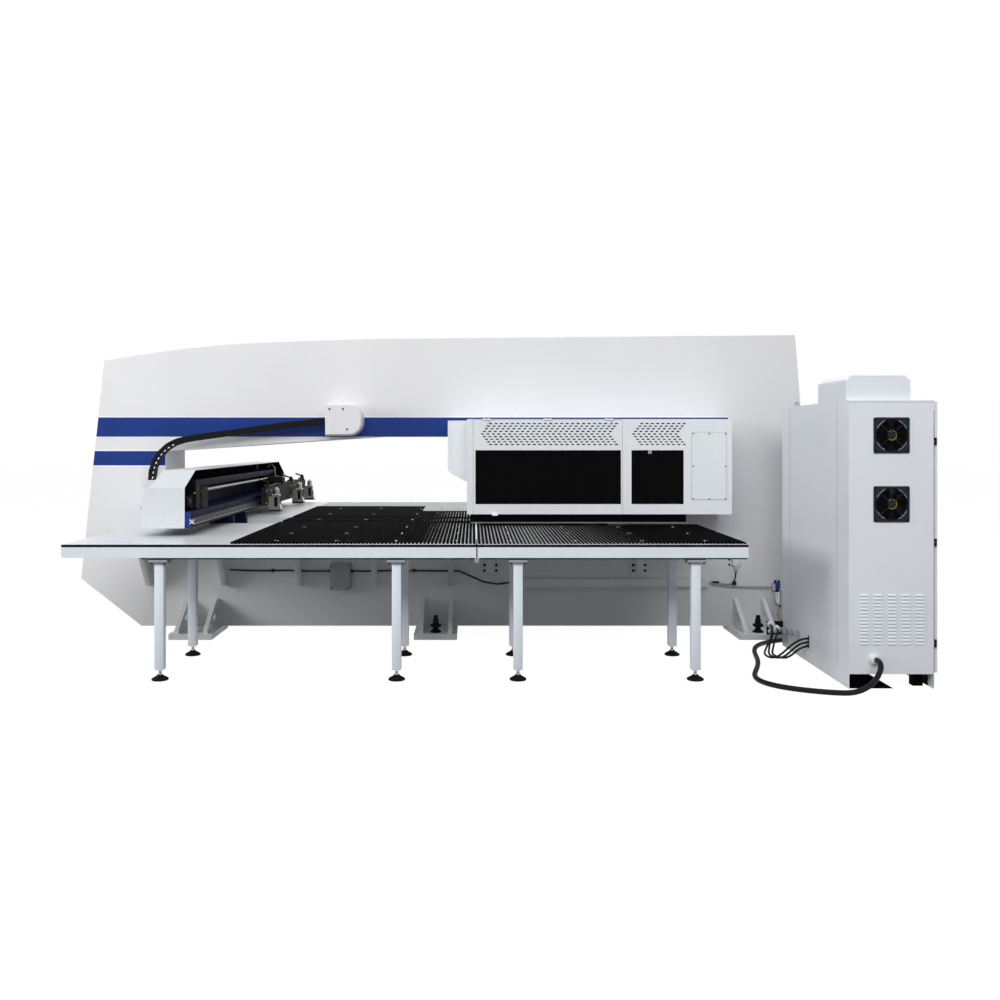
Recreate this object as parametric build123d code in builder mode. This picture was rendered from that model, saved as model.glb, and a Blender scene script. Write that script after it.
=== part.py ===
from build123d import *
import math
import os

os.makedirs("parts", exist_ok=True)

# A turret punch press. All sizes in millimetres, +X along the frame, +Y away from the operator, +Z up.
# Places across the machine are counted from the guard's left fold (X), the frame's middle plane (Y)
# and the floor (Z). The origin lies on the floor, under the middle of the whole machine.

# Frame
frame_width = 580
frame_half = frame_width / 2
foot_plate = 45
frame_bottom = foot_plate
frame_heel = (-2715, frame_bottom)
frame_knee = (-3210, 432)
frame_nose = (-3020, 2215)
frame_shoulder = (-2200, 2345)
frame_crown = (-900, 2392)
frame_back = (2637, 2426)
frame_tail = (2827, frame_bottom)
frame_bend = 8000
throat_left = -2518
throat_right = 1250
throat_sill = 700
throat_top = 1594
throat_corner = 60
haunch_end = -762
haunch_drop = 118

# Frame feet: each has a floor plate, two gussets and a levelling jack
foot_width = 338
foot_reach = 380
foot_under = 170
foot_middles = (-2216, -295, 2257)
gusset_plate = 32
gusset_inset = 40
gusset_height = 225
gusset_toe = 30
gusset_lip = 45
gusset_hole = 30
jack_flange = 42
jack_height = 135
jack_inset = 95
round_sides = 12
nut_sides = 6

# Sheet pass line and the tables: the line lies above the brushes by the room of the lower jaws
table_top = 900
jaw_room = 14
pass_line = table_top + jaw_room
brush_height = 15
plate_thickness = 16
rail_height = 69
rail_depth = 40
table_left = -2664
table_seam = 25
table_joint = 8
table_right = 1782
brush_left = -1580
brush_pitch = 25
brush_width = 11
front_edge = 2100
rear_edge = 2700
table_back = 300
turret_clear = 560
brush_rear = 1807
slot_inner = 190
edge_strip = 12
table_under = table_top - brush_height - plate_thickness - rail_height

# Table legs
leg_tube = 60
leg_flange = 120
leg_flange_thick = 30
leg_xs = (-2038, -497, 293, 1448)
leg_rows = (-2050, -1250, 1250, 2650)
leg_foot = 55
leg_foot_height = 46
leg_stud = 12
leg_nut = 21
nut_height = 12
leg_lift = 88

# Brackets that carry the tables on the frame
bracket_first = -2640
bracket_pitch = 615
bracket_count = 5
bracket_plate = 16
bracket_reach = 330
bracket_foot = 379
ledge_middles = (144, 1348)
ledge_width = 124
ledge_foot = 470
ledge_thick = 22
ledge_top = 778

# Level service rail, junction box and air unit on the frame's face
service_left = 414
service_right = 1922
service_low = 370
service_high = 437
service_depth = 60
junction_left = -1160
junction_right = -996
junction_low = 352
junction_high = 563
junction_depth = 90
air_x = 2484
air_stand = 45
air_low = 336
air_high = 400
air_half = 26
bowl_radius = 20
bowl_length = 96
knob_radius = 11
knob_length = 24

# Crossbeam guide in the throat
guide_y = 240
guide_rail_width = 45
guide_rail_height = 45
guide_left = throat_left + throat_corner + 8
guide_right = -620
guide_block_width = 90
guide_block_length = 120
guide_block_top = 790
guide_clear = 0.4
saddle_left = -2330
saddle_right = -1930
saddle_plate = 25
neck_left = -2168
neck_right = -1969
neck_width = 60
beam_screw_y = 150
beam_screw_z = 760
beam_screw_radius = 20
beam_nut = 35

# Crossbeam
beam_near = -1500
beam_far = 2380
beam_left = -2335
beam_right = -2030
beam_bottom = 942
beam_knee = 1172
beam_eave = 1227
beam_top = 1345
beam_knee_in = 51
beam_top_in = 76
beam_slope = 291
cover_sheet = 3
girder_top = 1056
girder_right = -1996
girder_left = -2331.7
girder_inset = 8
web_left = -2272
web_thick = 30
flange_z = 1238
flange_thick = 24
flange_right = -2095
flange_inset = 120
guide_z = 969
guide_height = 39
guide_depth = 32
upper_rail = 28
screw_x = -2060
screw_z = 1184
screw_radius = 16
screw_near = -1110
screw_block = 180
screw_far = 2250
screw_far_block = 90
running_fit = 0.08

# Clamp carriage
carriage_near = 780
carriage_far = 3040
bar_left = -1950
bar_right = -1905
bar_bottom = 960
bar_top = 1125
carriage_blocks = (1100, 2280)
carriage_block = 120
nut_y = 1700
nut_length = 120
nut_half = 40
arm_top = 1204
clamp_middles = (930, 2230, 2940)
clamp_width = 120
clamp_right = -1790
clamp_top = 1052
cheek = 15
jaw_gap = 2
jaw_thick = 11
sheet_gap = 2
clamp_pivot_x = -1840
clamp_pivot_z = 980
clamp_pin = 10
clamp_nose = 20
clamp_heel = 10
clamp_brow = 22
jaw_neck = 45
jaw_rise = 60
jaw_back = 36
jaw_shank = 34
jaw_crook = 12
jaw_face = 16
lever_x = -1928
lever_boss = 22
lever_boss_height = 40
lever_thick = 16
lever_reach = 72

# Turret, ram and their carriers
turret_x = 600
turret_radius = 540
station_circle = 450
station_count = 16
station_radius = 36
station_sides = 8
die_radius = 45
die_bore = 22
upper_turret_thick = 110
upper_turret_bottom = pass_line + 25
tool_head = 90
lower_turret_bottom = 790
lower_turret_top = pass_line - 5
die_lift = 4.7
hub_radius = 90
hub_height = 100
bearing_radius = 160
seat_gap = 0.3
ram_x = turret_x - station_circle
ram_radius = 50
ram_gap = 36
ram_housing_bottom = 1240
ram_housing_width = 220
ram_housing_depth = 260
ram_top = 1560

# Guard round the turret
guard_depth = 700
guard_left = -47
guard_right = 2020
guard_bottom = 986
guard_top = 1729
guard_sheet = 4
guard_seam = 1167
door_gap = 2
window_left = 19
window_right = 1154
side_window_left = 1236
side_window_right = 1643
window_bottom = 1065
window_top = 1486
pane_thick = 6
pane_lap = 8
access_left = 1705
access_right = 1977
access_bottom = 1102
access_top = 1626
access_thick = 3
hinge_xs = (105, 583, 1061)
hinge_out = 8
hinge_down = 5
hinge_radius = 7
hinge_pin = 3
hinge_length = 60
hinge_leaf = 4
hinge_leaf_width = 45
latch_x = 171
latch_width = 45
latch_height = 24
side_cover_left = -200
side_cover_depth = 560
side_cover_top = 1720
side_cover_low = 1328
side_cover_toe = 1290
side_cover_bottom = 1233
side_cover_nib = 41

# Cable chain, its box on the frame and its bracket on the crossbeam
chain_box_left = -1183
chain_box_right = -890
chain_box_bottom = 1602
chain_box_top = 1857
chain_box_depth = 210
chain_box_round = 100
chain_front = 455
chain_width = 80
chain_height = 45
link_length = 56.6
link_taper = 5.3
link_gap = 0.3
chain_points = (
    (-1183, 1718),
    (-1500, 1686),
    (-1878, 1635),
    (-2200, 1586),
    (-2402, 1526),
    (-2507, 1453),
    (-2563, 1348),
    (-2587, 1244),
)
chain_shelf = 12
chain_bracket_left = -2625
chain_bracket_drop = 102

# Control cabinet
cabinet_left = 2360
cabinet_right = 2897
cabinet_front = 2296
cabinet_back = 880
cabinet_bottom = 92
cabinet_top = 1812
cabinet_sheet = 4
cabinet_lip = 30
side_panel_foot = 0
door_thick = 28
door_sheet = 2
door_edge = 6
leaf_gap = 4
handle_reach = 42
handle_z = 980
handle_length = 150
handle_width = 26
handle_boss = 16
door_hinge_zs = (285, 919, 1555)
door_hinge_height = 46
door_hinge_radius = 9
fan_x = cabinet_left + 267
fan_zs = (1592, 1160)
fan_size = 225
fan_flange = 8
fan_bore = 101
fan_wall = 4
fan_depth = 56
fan_hub = 26
fan_tip = 97
fan_blades = 6
fan_strut = 7
top_box_right = cabinet_left + 408
top_box_front = cabinet_front - 50
top_box_back = top_box_front - 538
top_box_top = cabinet_top + 159
top_box_round = 35
gland_x = cabinet_left + 161
gland_z = 188
gland_radius = 31
gland_length = 40
slot_y = -1500
slot_low = 96
slot_high = 191
slot_width = 40
plinth_foot = 60
plinth_inset = 40
plinth_setback = 80
panel_stand = 25
panel_front = 120
panel_back = 80
panel_low = 220
panel_drop = 80

# Cable ends: the gland on the frame, and the connector bank on the cabinet's left side
frame_gland_x = 2560
frame_gland_z = 150
bank_reach = 124
bank_y = -900
bank_thick = 16
bank_low = 80
bank_high = 190
bank_glands = ((-104, 162), (-56, 130), (-98, 112))
bank_gland_radius = 20
bank_gland_length = 30
plug_ys = (-995, -1110, -1265)
plug_reach = 42
plug_width = 80
plug_low = 105
plug_height = 60

# Cords: radii, and the points of their routes from end to end, chosen by hand
main_cable_radius = 17
main_cable_points = (
    (2521, -2336, 188),
    (2521, -2394, 188),
    (2506, -2444, 158),
    (2468, -2474, 102),
    (2404, -2492, 50),
    (2318, -2494, 20),
    (2212, -2474, 17.5),
    (2096, -2430, 17.5),
    (1976, -2360, 17.5),
    (1876, -2256, 17.5),
    (1832, -2124, 17.5),
    (1850, -1980, 17.5),
    (1906, -1824, 17.5),
    (1962, -1662, 17.5),
    (2004, -1500, 17.5),
    (2032, -1340, 17.5),
    (2062, -1186, 17.5),
    (2110, -1040, 17.5),
    (2190, -908, 17.5),
    (2306, -808, 17.5),
    (2430, -748, 17.5),
    (2518, -660, 20),
    (2554, -562, 46),
    (2564, -472, 104),
    (2560, -396, 150),
    (2560, -330, 150),
)
side_cable_radius = 7.5
side_cable_left_points = (
    (2372, -1510, 171),
    (2314, -1510, 166),
    (2266, -1502, 140),
    (2224, -1484, 98),
    (2184, -1460, 50),
    (2148, -1424, 16),
    (2122, -1368, 8),
    (2116, -1300, 8),
    (2126, -1232, 8),
    (2146, -1168, 10),
    (2174, -1108, 26),
    (2212, -1056, 62),
    (2246, -1016, 94),
    (2262, -974, 112),
    (2262, -930, 112),
)
side_cable_middle_points = (
    (2372, -1501, 143),
    (2318, -1497, 136),
    (2276, -1484, 106),
    (2240, -1463, 62),
    (2205, -1437, 24),
    (2172, -1398, 9),
    (2152, -1342, 8),
    (2150, -1276, 8),
    (2162, -1212, 10),
    (2182, -1154, 34),
    (2206, -1102, 78),
    (2232, -1052, 126),
    (2242, -1018, 146),
    (2256, -976, 162),
    (2256, -930, 162),
)
side_cable_right_points = (
    (2372, -1492, 116),
    (2322, -1484, 104),
    (2284, -1466, 70),
    (2252, -1442, 32),
    (2222, -1412, 11),
    (2196, -1370, 8),
    (2180, -1318, 8),
    (2180, -1258, 8),
    (2192, -1198, 11),
    (2214, -1142, 30),
    (2240, -1088, 66),
    (2270, -1034, 104),
    (2298, -984, 128),
    (2304, -950, 130),
    (2304, -930, 130),
)

# Datum: the origin under the middle of the machine's footprint
machine_right = cabinet_right + door_thick + handle_reach
machine_front = -(cabinet_front + gland_length)
datum_x = -(frame_knee[0] + machine_right) / 2
datum_y = -(machine_front + carriage_far) / 2


def plan(height):
    """A level plane at this height, X to the right and Y away."""
    return Plane((datum_x, datum_y, height))


def elevation(depth):
    """An upright plane across the machine at this depth, looking at it from the front."""
    return Plane((datum_x, datum_y + depth, 0), x_dir=(1, 0, 0), z_dir=(0, -1, 0))


def section(across):
    """An upright plane along the depth at this place, looking at it from the right."""
    return Plane((datum_x + across, datum_y, 0), x_dir=(0, 1, 0), z_dir=(1, 0, 0))


def upright(place):
    """An upright plane through this place, for the half profile of a turned piece."""
    return Plane((datum_x + place[0], datum_y + place[1], place[2]), x_dir=(1, 0, 0), z_dir=(0, -1, 0))


middle_plane = elevation(0)


def slab(xs, ys, zs, mode=Mode.ADD):
    """A rectangular plate or block between two corners."""
    with BuildSketch(plan(zs[0]), mode=Mode.PRIVATE) as profile:
        with Locations(((xs[0] + xs[1]) / 2, (ys[0] + ys[1]) / 2)):
            Rectangle(xs[1] - xs[0], ys[1] - ys[0])
    extrude(profile.sketch, amount=zs[1] - zs[0], mode=mode)


def prism(plane, outline, length, mode=Mode.ADD):
    """A straight-sided profile on a plane, drawn out by its length."""
    with BuildSketch(plane, mode=Mode.PRIVATE) as profile:
        with BuildLine():
            Polyline(*outline, close=True)
        make_face()
    extrude(profile.sketch, amount=length, mode=mode)


def rod(plane, middle, radius, length, mode=Mode.ADD):
    """A round bar or bore standing on a plane."""
    with BuildSketch(plane, mode=Mode.PRIVATE) as profile:
        with Locations(middle):
            Circle(radius)
    extrude(profile.sketch, amount=length, mode=mode)


def polygon_bar(middle, zs, radius, sides):
    """An upright bar with flat sides."""
    with BuildSketch(plan(zs[0]), mode=Mode.PRIVATE) as profile:
        with Locations(middle):
            RegularPolygon(radius, sides)
    extrude(profile.sketch, amount=zs[1] - zs[0])


def tapers(middle, base, steps, sides):
    """An upright stack of tapers through (height, radius) steps above the base."""
    profiles = []
    for height, radius in steps:
        with BuildSketch(plan(base + height), mode=Mode.PRIVATE) as profile:
            with Locations(middle):
                RegularPolygon(radius, sides)
        profiles.append(profile.sketch.faces()[0])
    for below, above in zip(profiles, profiles[1:]):
        loft([below, above])


# Frame weldment: the closed frame with its long throat
with BuildPart() as frame_weldment:
    with BuildSketch(elevation(frame_half)):
        with BuildLine():
            FilletPolyline(frame_nose, frame_shoulder, frame_crown, frame_back, radius=frame_bend)
            Polyline(frame_back, frame_tail, frame_heel, frame_knee, frame_nose)
        make_face()
        with BuildLine(mode=Mode.PRIVATE) as throat:
            Polyline(
                (throat_left, throat_sill),
                (throat_right, throat_sill),
                (throat_right, throat_top),
                (haunch_end, throat_top),
                (throat_left, throat_top - haunch_drop),
                close=True,
            )
        with BuildSketch(mode=Mode.PRIVATE) as throat_face:
            add(throat.line)
            make_face()
            fillet(throat_face.vertices().group_by(Axis.Y)[0], throat_corner)
        add(throat_face.sketch, mode=Mode.SUBTRACT)
    extrude(amount=frame_width)
frame_weldment.part.label = "frame_weldment"
export_step(frame_weldment.part, "parts/frame_weldment.step")

# Feet of the frame: floor plates that reach under it, with pairs of holed gussets
with BuildPart() as foot_brackets:
    for middle in foot_middles:
        left = middle - foot_width / 2
        slab(
            (left, left + foot_width),
            (-frame_half - foot_reach, -frame_half + foot_under),
            (0, foot_plate),
        )
        for gusset_x in (left + gusset_inset, left + foot_width - gusset_inset - gusset_plate):
            with BuildSketch(section(gusset_x)):
                with BuildLine():
                    Polyline(
                        (-frame_half, foot_plate),
                        (-frame_half, foot_plate + gusset_height),
                        (-frame_half - gusset_lip, foot_plate + gusset_height),
                        (-frame_half - foot_reach + gusset_toe, foot_plate + gusset_toe),
                        (-frame_half - foot_reach + gusset_toe, foot_plate),
                        close=True,
                    )
                make_face()
                with Locations((-frame_half - foot_reach / 3, foot_plate + gusset_height / 2.4)):
                    Circle(gusset_hole, mode=Mode.SUBTRACT)
            extrude(amount=gusset_plate)
    mirror(about=middle_plane)
foot_brackets.part.label = "foot_brackets"
export_step(foot_brackets.part, "parts/foot_brackets.step")

# Levelling jacks standing on the floor plates between the gussets: a waisted base, a lock ring and a
# hexagonal spindle head
jack_steps = (
    (0, jack_flange),
    (jack_height * 0.25, jack_flange * 0.5),
    (jack_height * 0.36, jack_flange),
    (jack_height * 0.46, jack_flange),
    (jack_height * 0.58, jack_flange * 0.52),
    (jack_height * 0.78, jack_flange * 0.52),
)
jack_y = -frame_half - foot_reach + jack_inset
with BuildPart() as levelling_jacks:
    for middle in foot_middles:
        tapers((middle, jack_y), foot_plate, jack_steps, round_sides)
        polygon_bar(
            (middle, jack_y),
            (foot_plate + jack_steps[-1][0], foot_plate + jack_height),
            jack_flange * 0.4,
            nut_sides,
        )
    mirror(about=middle_plane)
levelling_jacks.part.label = "levelling_jacks"
export_step(levelling_jacks.part, "parts/levelling_jacks.step")

# Crossbeam guide: two rails on the sill of the throat
with BuildPart() as throat_rails:
    for side in (-1, 1):
        slab(
            (guide_left, guide_right),
            (side * guide_y - guide_rail_width / 2, side * guide_y + guide_rail_width / 2),
            (throat_sill, throat_sill + guide_rail_height),
        )
throat_rails.part.label = "throat_rails"
export_step(throat_rails.part, "parts/throat_rails.step")

# Bearings of the crossbeam's ball screw, and the motor that turns it
screw_support_length = 70
screw_support_half = 40
motor_length = 210
motor_half = 45
screw_end = guide_right + 10
with BuildPart() as beam_drive:
    for support_x in (guide_left + 5, guide_right - screw_support_length):
        slab(
            (support_x, support_x + screw_support_length),
            (beam_screw_y - screw_support_half, beam_screw_y + screw_support_half),
            (throat_sill, beam_screw_z + screw_support_half),
        )
        rod(
            section(support_x),
            (beam_screw_y, beam_screw_z),
            beam_screw_radius + running_fit,
            screw_support_length,
            mode=Mode.SUBTRACT,
        )
    slab(
        (guide_right, screw_end + motor_length),
        (beam_screw_y - motor_half, beam_screw_y + motor_half),
        (beam_screw_z - motor_half, beam_screw_z + motor_half),
    )
    rod(
        section(guide_right),
        (beam_screw_y, beam_screw_z),
        beam_screw_radius + running_fit,
        screw_end - guide_right + seat_gap,
        mode=Mode.SUBTRACT,
    )
    slab(
        (screw_end + 20, screw_end + motor_length - 20),
        (beam_screw_y - motor_half + 12, beam_screw_y + motor_half - 12),
        (throat_sill, beam_screw_z - motor_half),
    )
beam_drive.part.label = "beam_drive"
export_step(beam_drive.part, "parts/beam_drive.step")

with BuildPart() as beam_screw:
    rod(
        section(guide_left + 8),
        (beam_screw_y, beam_screw_z),
        beam_screw_radius,
        screw_end - guide_left - 8,
    )
beam_screw.part.label = "beam_screw"
export_step(beam_screw.part, "parts/beam_screw.step")

# Saddle: the two necks that carry the crossbeam through the slots beside the throat table
saddle_low = guide_block_top
saddle_high = saddle_low + saddle_plate
block_out = guide_block_width / 2
block_in = guide_rail_width / 2 + guide_clear
block_low = throat_sill + 8
block_roof = throat_sill + guide_rail_height + guide_clear
with BuildPart() as beam_saddle:
    for side in (-1, 1):
        slab(
            (saddle_left, saddle_right),
            (side * guide_y - guide_block_width / 2, side * guide_y + guide_block_width / 2),
            (saddle_low, saddle_high),
        )
        slab(
            (neck_left, neck_right),
            (side * guide_y - neck_width / 2, side * guide_y + neck_width / 2),
            (saddle_high, beam_bottom + 1),
        )
    slab(
        (neck_left, neck_right),
        (beam_screw_y - beam_nut, guide_y - guide_block_width / 2),
        (saddle_low, saddle_high),
    )
    slab(
        (neck_left, neck_right),
        (beam_screw_y - beam_nut, beam_screw_y + beam_nut),
        (beam_screw_z - beam_nut, saddle_low),
    )
    rod(
        section(neck_left),
        (beam_screw_y, beam_screw_z),
        beam_screw_radius + running_fit,
        neck_right - neck_left,
        mode=Mode.SUBTRACT,
    )
    for side in (-1, 1):
        for block_x in (saddle_left, saddle_right - guide_block_length):
            prism(
                section(block_x),
                (
                    (side * guide_y - block_out, guide_block_top),
                    (side * guide_y + block_out, guide_block_top),
                    (side * guide_y + block_out, block_low),
                    (side * guide_y + block_in, block_low),
                    (side * guide_y + block_in, block_roof),
                    (side * guide_y - block_in, block_roof),
                    (side * guide_y - block_in, block_low),
                    (side * guide_y - block_out, block_low),
                ),
                guide_block_length,
            )
beam_saddle.part.label = "beam_saddle"
export_step(beam_saddle.part, "parts/beam_saddle.step")

# Crossbeam girder: a box with a web and an upper flange, open to the right
with BuildPart() as crossbeam_girder:
    slab(
        (girder_left, girder_right),
        (beam_near + girder_inset, beam_far - girder_inset),
        (beam_bottom + 1, girder_top),
    )
    prism(
        elevation(beam_far - flange_inset),
        (
            (web_left, girder_top),
            (web_left + web_thick, girder_top),
            (web_left + web_thick, flange_z),
            (flange_right, flange_z),
            (flange_right, flange_z + flange_thick),
            (web_left, flange_z + flange_thick),
        ),
        beam_far - beam_near - 2 * flange_inset,
    )
crossbeam_girder.part.label = "crossbeam_girder"
export_step(crossbeam_girder.part, "parts/crossbeam_girder.step")

# Folded cover over the crossbeam, closed at the ends and open to the right
with BuildPart() as crossbeam_cover:
    prism(
        elevation(beam_far),
        (
            (beam_left, beam_bottom),
            (beam_right, beam_bottom),
            (beam_right, beam_top),
            (beam_left + beam_top_in, beam_top),
            (beam_left + beam_knee_in, beam_eave),
            (beam_left, beam_knee),
        ),
        beam_far - beam_near,
    )
    for end, inward in ((beam_near, 1), (beam_far, -1)):
        prism(
            section(beam_left),
            (
                (end, beam_eave),
                (end, beam_top),
                (end + inward * beam_slope, beam_top),
            ),
            beam_right - beam_left,
            mode=Mode.SUBTRACT,
        )
    open_faces = [crossbeam_cover.faces().sort_by(Axis.X)[-1], crossbeam_cover.faces().sort_by(Axis.Z)[0]]
    offset(amount=-cover_sheet, openings=open_faces)
crossbeam_cover.part.label = "crossbeam_cover"
export_step(crossbeam_cover.part, "parts/crossbeam_cover.step")

# Guides of the carriage: a waisted rail on the girder's face, one under its flange, and the two
# bearing blocks of the ball screw
block_half = 46
with BuildPart() as carriage_guides:
    waist = guide_height * 0.22
    prism(
        elevation(beam_far - girder_inset),
        (
            (girder_right, guide_z),
            (girder_right + guide_depth * 0.3, guide_z),
            (girder_right + guide_depth * 0.5, guide_z + waist),
            (girder_right + guide_depth * 0.7, guide_z),
            (girder_right + guide_depth, guide_z),
            (girder_right + guide_depth, guide_z + guide_height),
            (girder_right + guide_depth * 0.7, guide_z + guide_height),
            (girder_right + guide_depth * 0.5, guide_z + guide_height - waist),
            (girder_right + guide_depth * 0.3, guide_z + guide_height),
            (girder_right, guide_z + guide_height),
        ),
        beam_far - beam_near - 2 * girder_inset,
    )
    slab(
        (flange_right - 2 * upper_rail, flange_right - upper_rail),
        (beam_near + flange_inset, beam_far - flange_inset),
        (flange_z - upper_rail, flange_z),
    )
    for block_y, block_length in ((screw_near, screw_block), (screw_far, screw_far_block)):
        slab(
            (screw_x - block_half, screw_x + block_half),
            (block_y, block_y + block_length),
            (girder_top, flange_z - upper_rail - 1),
        )
        rod(
            elevation(block_y + block_length),
            (screw_x, screw_z),
            screw_radius + running_fit,
            block_length,
            mode=Mode.SUBTRACT,
        )
carriage_guides.part.label = "carriage_guides"
export_step(carriage_guides.part, "parts/carriage_guides.step")

with BuildPart() as carriage_screw:
    rod(
        elevation(screw_far + screw_far_block),
        (screw_x, screw_z),
        screw_radius,
        screw_far + screw_far_block - screw_near,
    )
carriage_screw.part.label = "carriage_screw"
export_step(carriage_screw.part, "parts/carriage_screw.step")

# Clamp carriage: the bar, its blocks on the lower rail, the bosses of the lock levers and the arm
# that holds the screw's nut
rail_face = girder_right + guide_depth
stud_radius = 6
with BuildPart() as carriage_bar:
    slab((bar_left, bar_right), (carriage_near, carriage_far), (bar_bottom, bar_top))
    prism(
        elevation(nut_y + nut_length / 2),
        (
            (bar_left, bar_top),
            (bar_right, bar_top),
            (bar_right, arm_top - 20),
            (bar_right - 20, arm_top),
            (screw_x + nut_half, arm_top),
            (screw_x + nut_half, bar_top + 20),
            (bar_left, bar_top + 20),
        ),
        nut_length,
    )
    slab(
        (screw_x - nut_half, screw_x + nut_half),
        (nut_y - nut_length / 2, nut_y + nut_length / 2),
        (screw_z - nut_half, screw_z + nut_half - 18),
    )
    rod(
        elevation(nut_y + nut_length / 2),
        (screw_x, screw_z),
        screw_radius + running_fit,
        nut_length,
        mode=Mode.SUBTRACT,
    )
    for block_y in carriage_blocks:
        prism(
            elevation(block_y + carriage_block / 2),
            (
                (girder_right + 2, guide_z - 18),
                (bar_left, guide_z - 18),
                (bar_left, guide_z + guide_height + 18),
                (girder_right + 2, guide_z + guide_height + 18),
                (girder_right + 2, guide_z + guide_height + guide_clear),
                (rail_face + guide_clear, guide_z + guide_height + guide_clear),
                (rail_face + guide_clear, guide_z - guide_clear),
                (girder_right + 2, guide_z - guide_clear),
            ),
            carriage_block,
        )
    for middle in clamp_middles:
        rod(plan(bar_top), (lever_x, middle), lever_boss, lever_boss_height)
        rod(
            plan(bar_top + lever_boss_height),
            (lever_x, middle),
            stud_radius,
            lever_thick + seat_gap,
        )
carriage_bar.part.label = "carriage_bar"
export_step(carriage_bar.part, "parts/carriage_bar.step")

# Sheet clamps: two cheeks, a thin lower jaw, and the pin of the upper jaw
jaw_top = pass_line - 1
with BuildPart() as clamp_bodies:
    for middle in clamp_middles:
        near = middle - clamp_width / 2
        far = middle + clamp_width / 2
        for cheek_far in (near + cheek, far):
            prism(
                elevation(cheek_far),
                (
                    (bar_right, jaw_top - jaw_thick),
                    (clamp_right, jaw_top - jaw_thick),
                    (clamp_right, jaw_top),
                    (clamp_right - clamp_nose, clamp_pivot_z + clamp_brow),
                    (clamp_pivot_x - clamp_heel, clamp_top),
                    (bar_right, clamp_top),
                ),
                cheek,
            )
        slab((bar_right, clamp_right), (near, far), (jaw_top - jaw_thick, jaw_top))
        rod(elevation(far), (clamp_pivot_x, clamp_pivot_z), clamp_pin, clamp_width)
clamp_bodies.part.label = "clamp_bodies"
export_step(clamp_bodies.part, "parts/clamp_bodies.step")

# Upper jaws, one in each clamp, all on one line of pins
with BuildPart() as clamp_jaws:
    for middle in clamp_middles:
        jaw_half = clamp_width / 2 - cheek - jaw_gap
        prism(
            elevation(middle + jaw_half),
            (
                (clamp_right - jaw_gap, jaw_top + sheet_gap),
                (clamp_right, clamp_pivot_z - jaw_neck),
                (clamp_pivot_x + clamp_nose, clamp_pivot_z + jaw_face),
                (clamp_pivot_x - jaw_crook, clamp_pivot_z + jaw_rise),
                (clamp_pivot_x - jaw_back, clamp_pivot_z + jaw_rise),
                (clamp_pivot_x - jaw_back, clamp_pivot_z + jaw_shank),
                (clamp_pivot_x - clamp_nose, clamp_pivot_z - clamp_heel),
                (clamp_right - jaw_shank, clamp_pivot_z - jaw_neck),
                (clamp_right - jaw_shank + jaw_gap, jaw_top + sheet_gap),
            ),
            2 * jaw_half,
        )
        rod(
            elevation(middle + jaw_half),
            (clamp_pivot_x, clamp_pivot_z),
            clamp_pin + running_fit,
            2 * jaw_half,
            mode=Mode.SUBTRACT,
        )
clamp_jaws.part.label = "clamp_jaws"
export_step(clamp_jaws.part, "parts/clamp_jaws.step")

# Lock levers on top of the carriage bar, one for each clamp
lever_base = bar_top + lever_boss_height + seat_gap
for number, middle in enumerate(clamp_middles, 1):
    with BuildPart() as lock_lever:
        rod(plan(lever_base), (lever_x, middle), lever_boss - 4, lever_thick)
        prism(
            elevation(middle + lever_thick / 2),
            (
                (lever_x - lever_boss + 8, lever_base),
                (lever_x - lever_boss + 8, lever_base + lever_thick),
                (lever_x - lever_reach, lever_base + lever_thick + 14),
                (lever_x - lever_reach, lever_base + lever_thick - 2),
            ),
            lever_thick,
        )
        rod(
            plan(lever_base),
            (lever_x, middle),
            stud_radius + running_fit,
            lever_thick,
            mode=Mode.SUBTRACT,
        )
    lock_lever.part.label = f"lock_lever_{number}"
    export_step(lock_lever.part, f"parts/lock_lever_{number}.step")

# Bracket on the crossbeam's left side, where the cable chain ends
chain_end = chain_points[-1]
chain_shelf_top = chain_end[1] - link_gap
with BuildPart() as chain_bracket:
    prism(
        elevation(-chain_front + chain_width),
        (
            (beam_left, beam_knee - chain_bracket_drop),
            (beam_left, beam_knee),
            (beam_left - 30, chain_shelf_top),
            (chain_bracket_left, chain_shelf_top),
            (chain_bracket_left, chain_shelf_top - chain_shelf),
            (beam_left - 60, chain_shelf_top - chain_shelf),
            (beam_left - chain_shelf, min(beam_knee, chain_shelf_top) - chain_bracket_drop),
        ),
        chain_width,
    )
chain_bracket.part.label = "chain_bracket"
export_step(chain_bracket.part, "parts/chain_bracket.step")

# Cable chain: hexagonal links that pivot at their points
with BuildLine() as chain_path:
    chain_curve = Spline(*chain_points)
link_count = round(chain_curve.length / link_length)
link_pitch = chain_curve.length / link_count
link_half = (link_pitch - link_gap) / 2
link_shoulder = link_half - link_taper
with BuildPart() as cable_chain:
    for number in range(link_count):
        along = chain_curve.length - (number + 0.5) * link_pitch
        spot = chain_curve.position_at(along, position_mode=PositionMode.LENGTH)
        heading = chain_curve.tangent_at(along, position_mode=PositionMode.LENGTH)
        link_plane = Plane(
            (datum_x + spot.X, datum_y - chain_front + chain_width, spot.Y),
            x_dir=(heading.X, 0, heading.Y),
            z_dir=(0, -1, 0),
        )
        prism(
            link_plane,
            (
                (-link_half, 0),
                (-link_shoulder, -chain_height / 2),
                (link_shoulder, -chain_height / 2),
                (link_half, 0),
                (link_shoulder, chain_height / 2),
                (-link_shoulder, chain_height / 2),
            ),
            chain_width,
        )
cable_chain.part.label = "cable_chain"
export_step(cable_chain.part, "parts/cable_chain.step")

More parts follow.
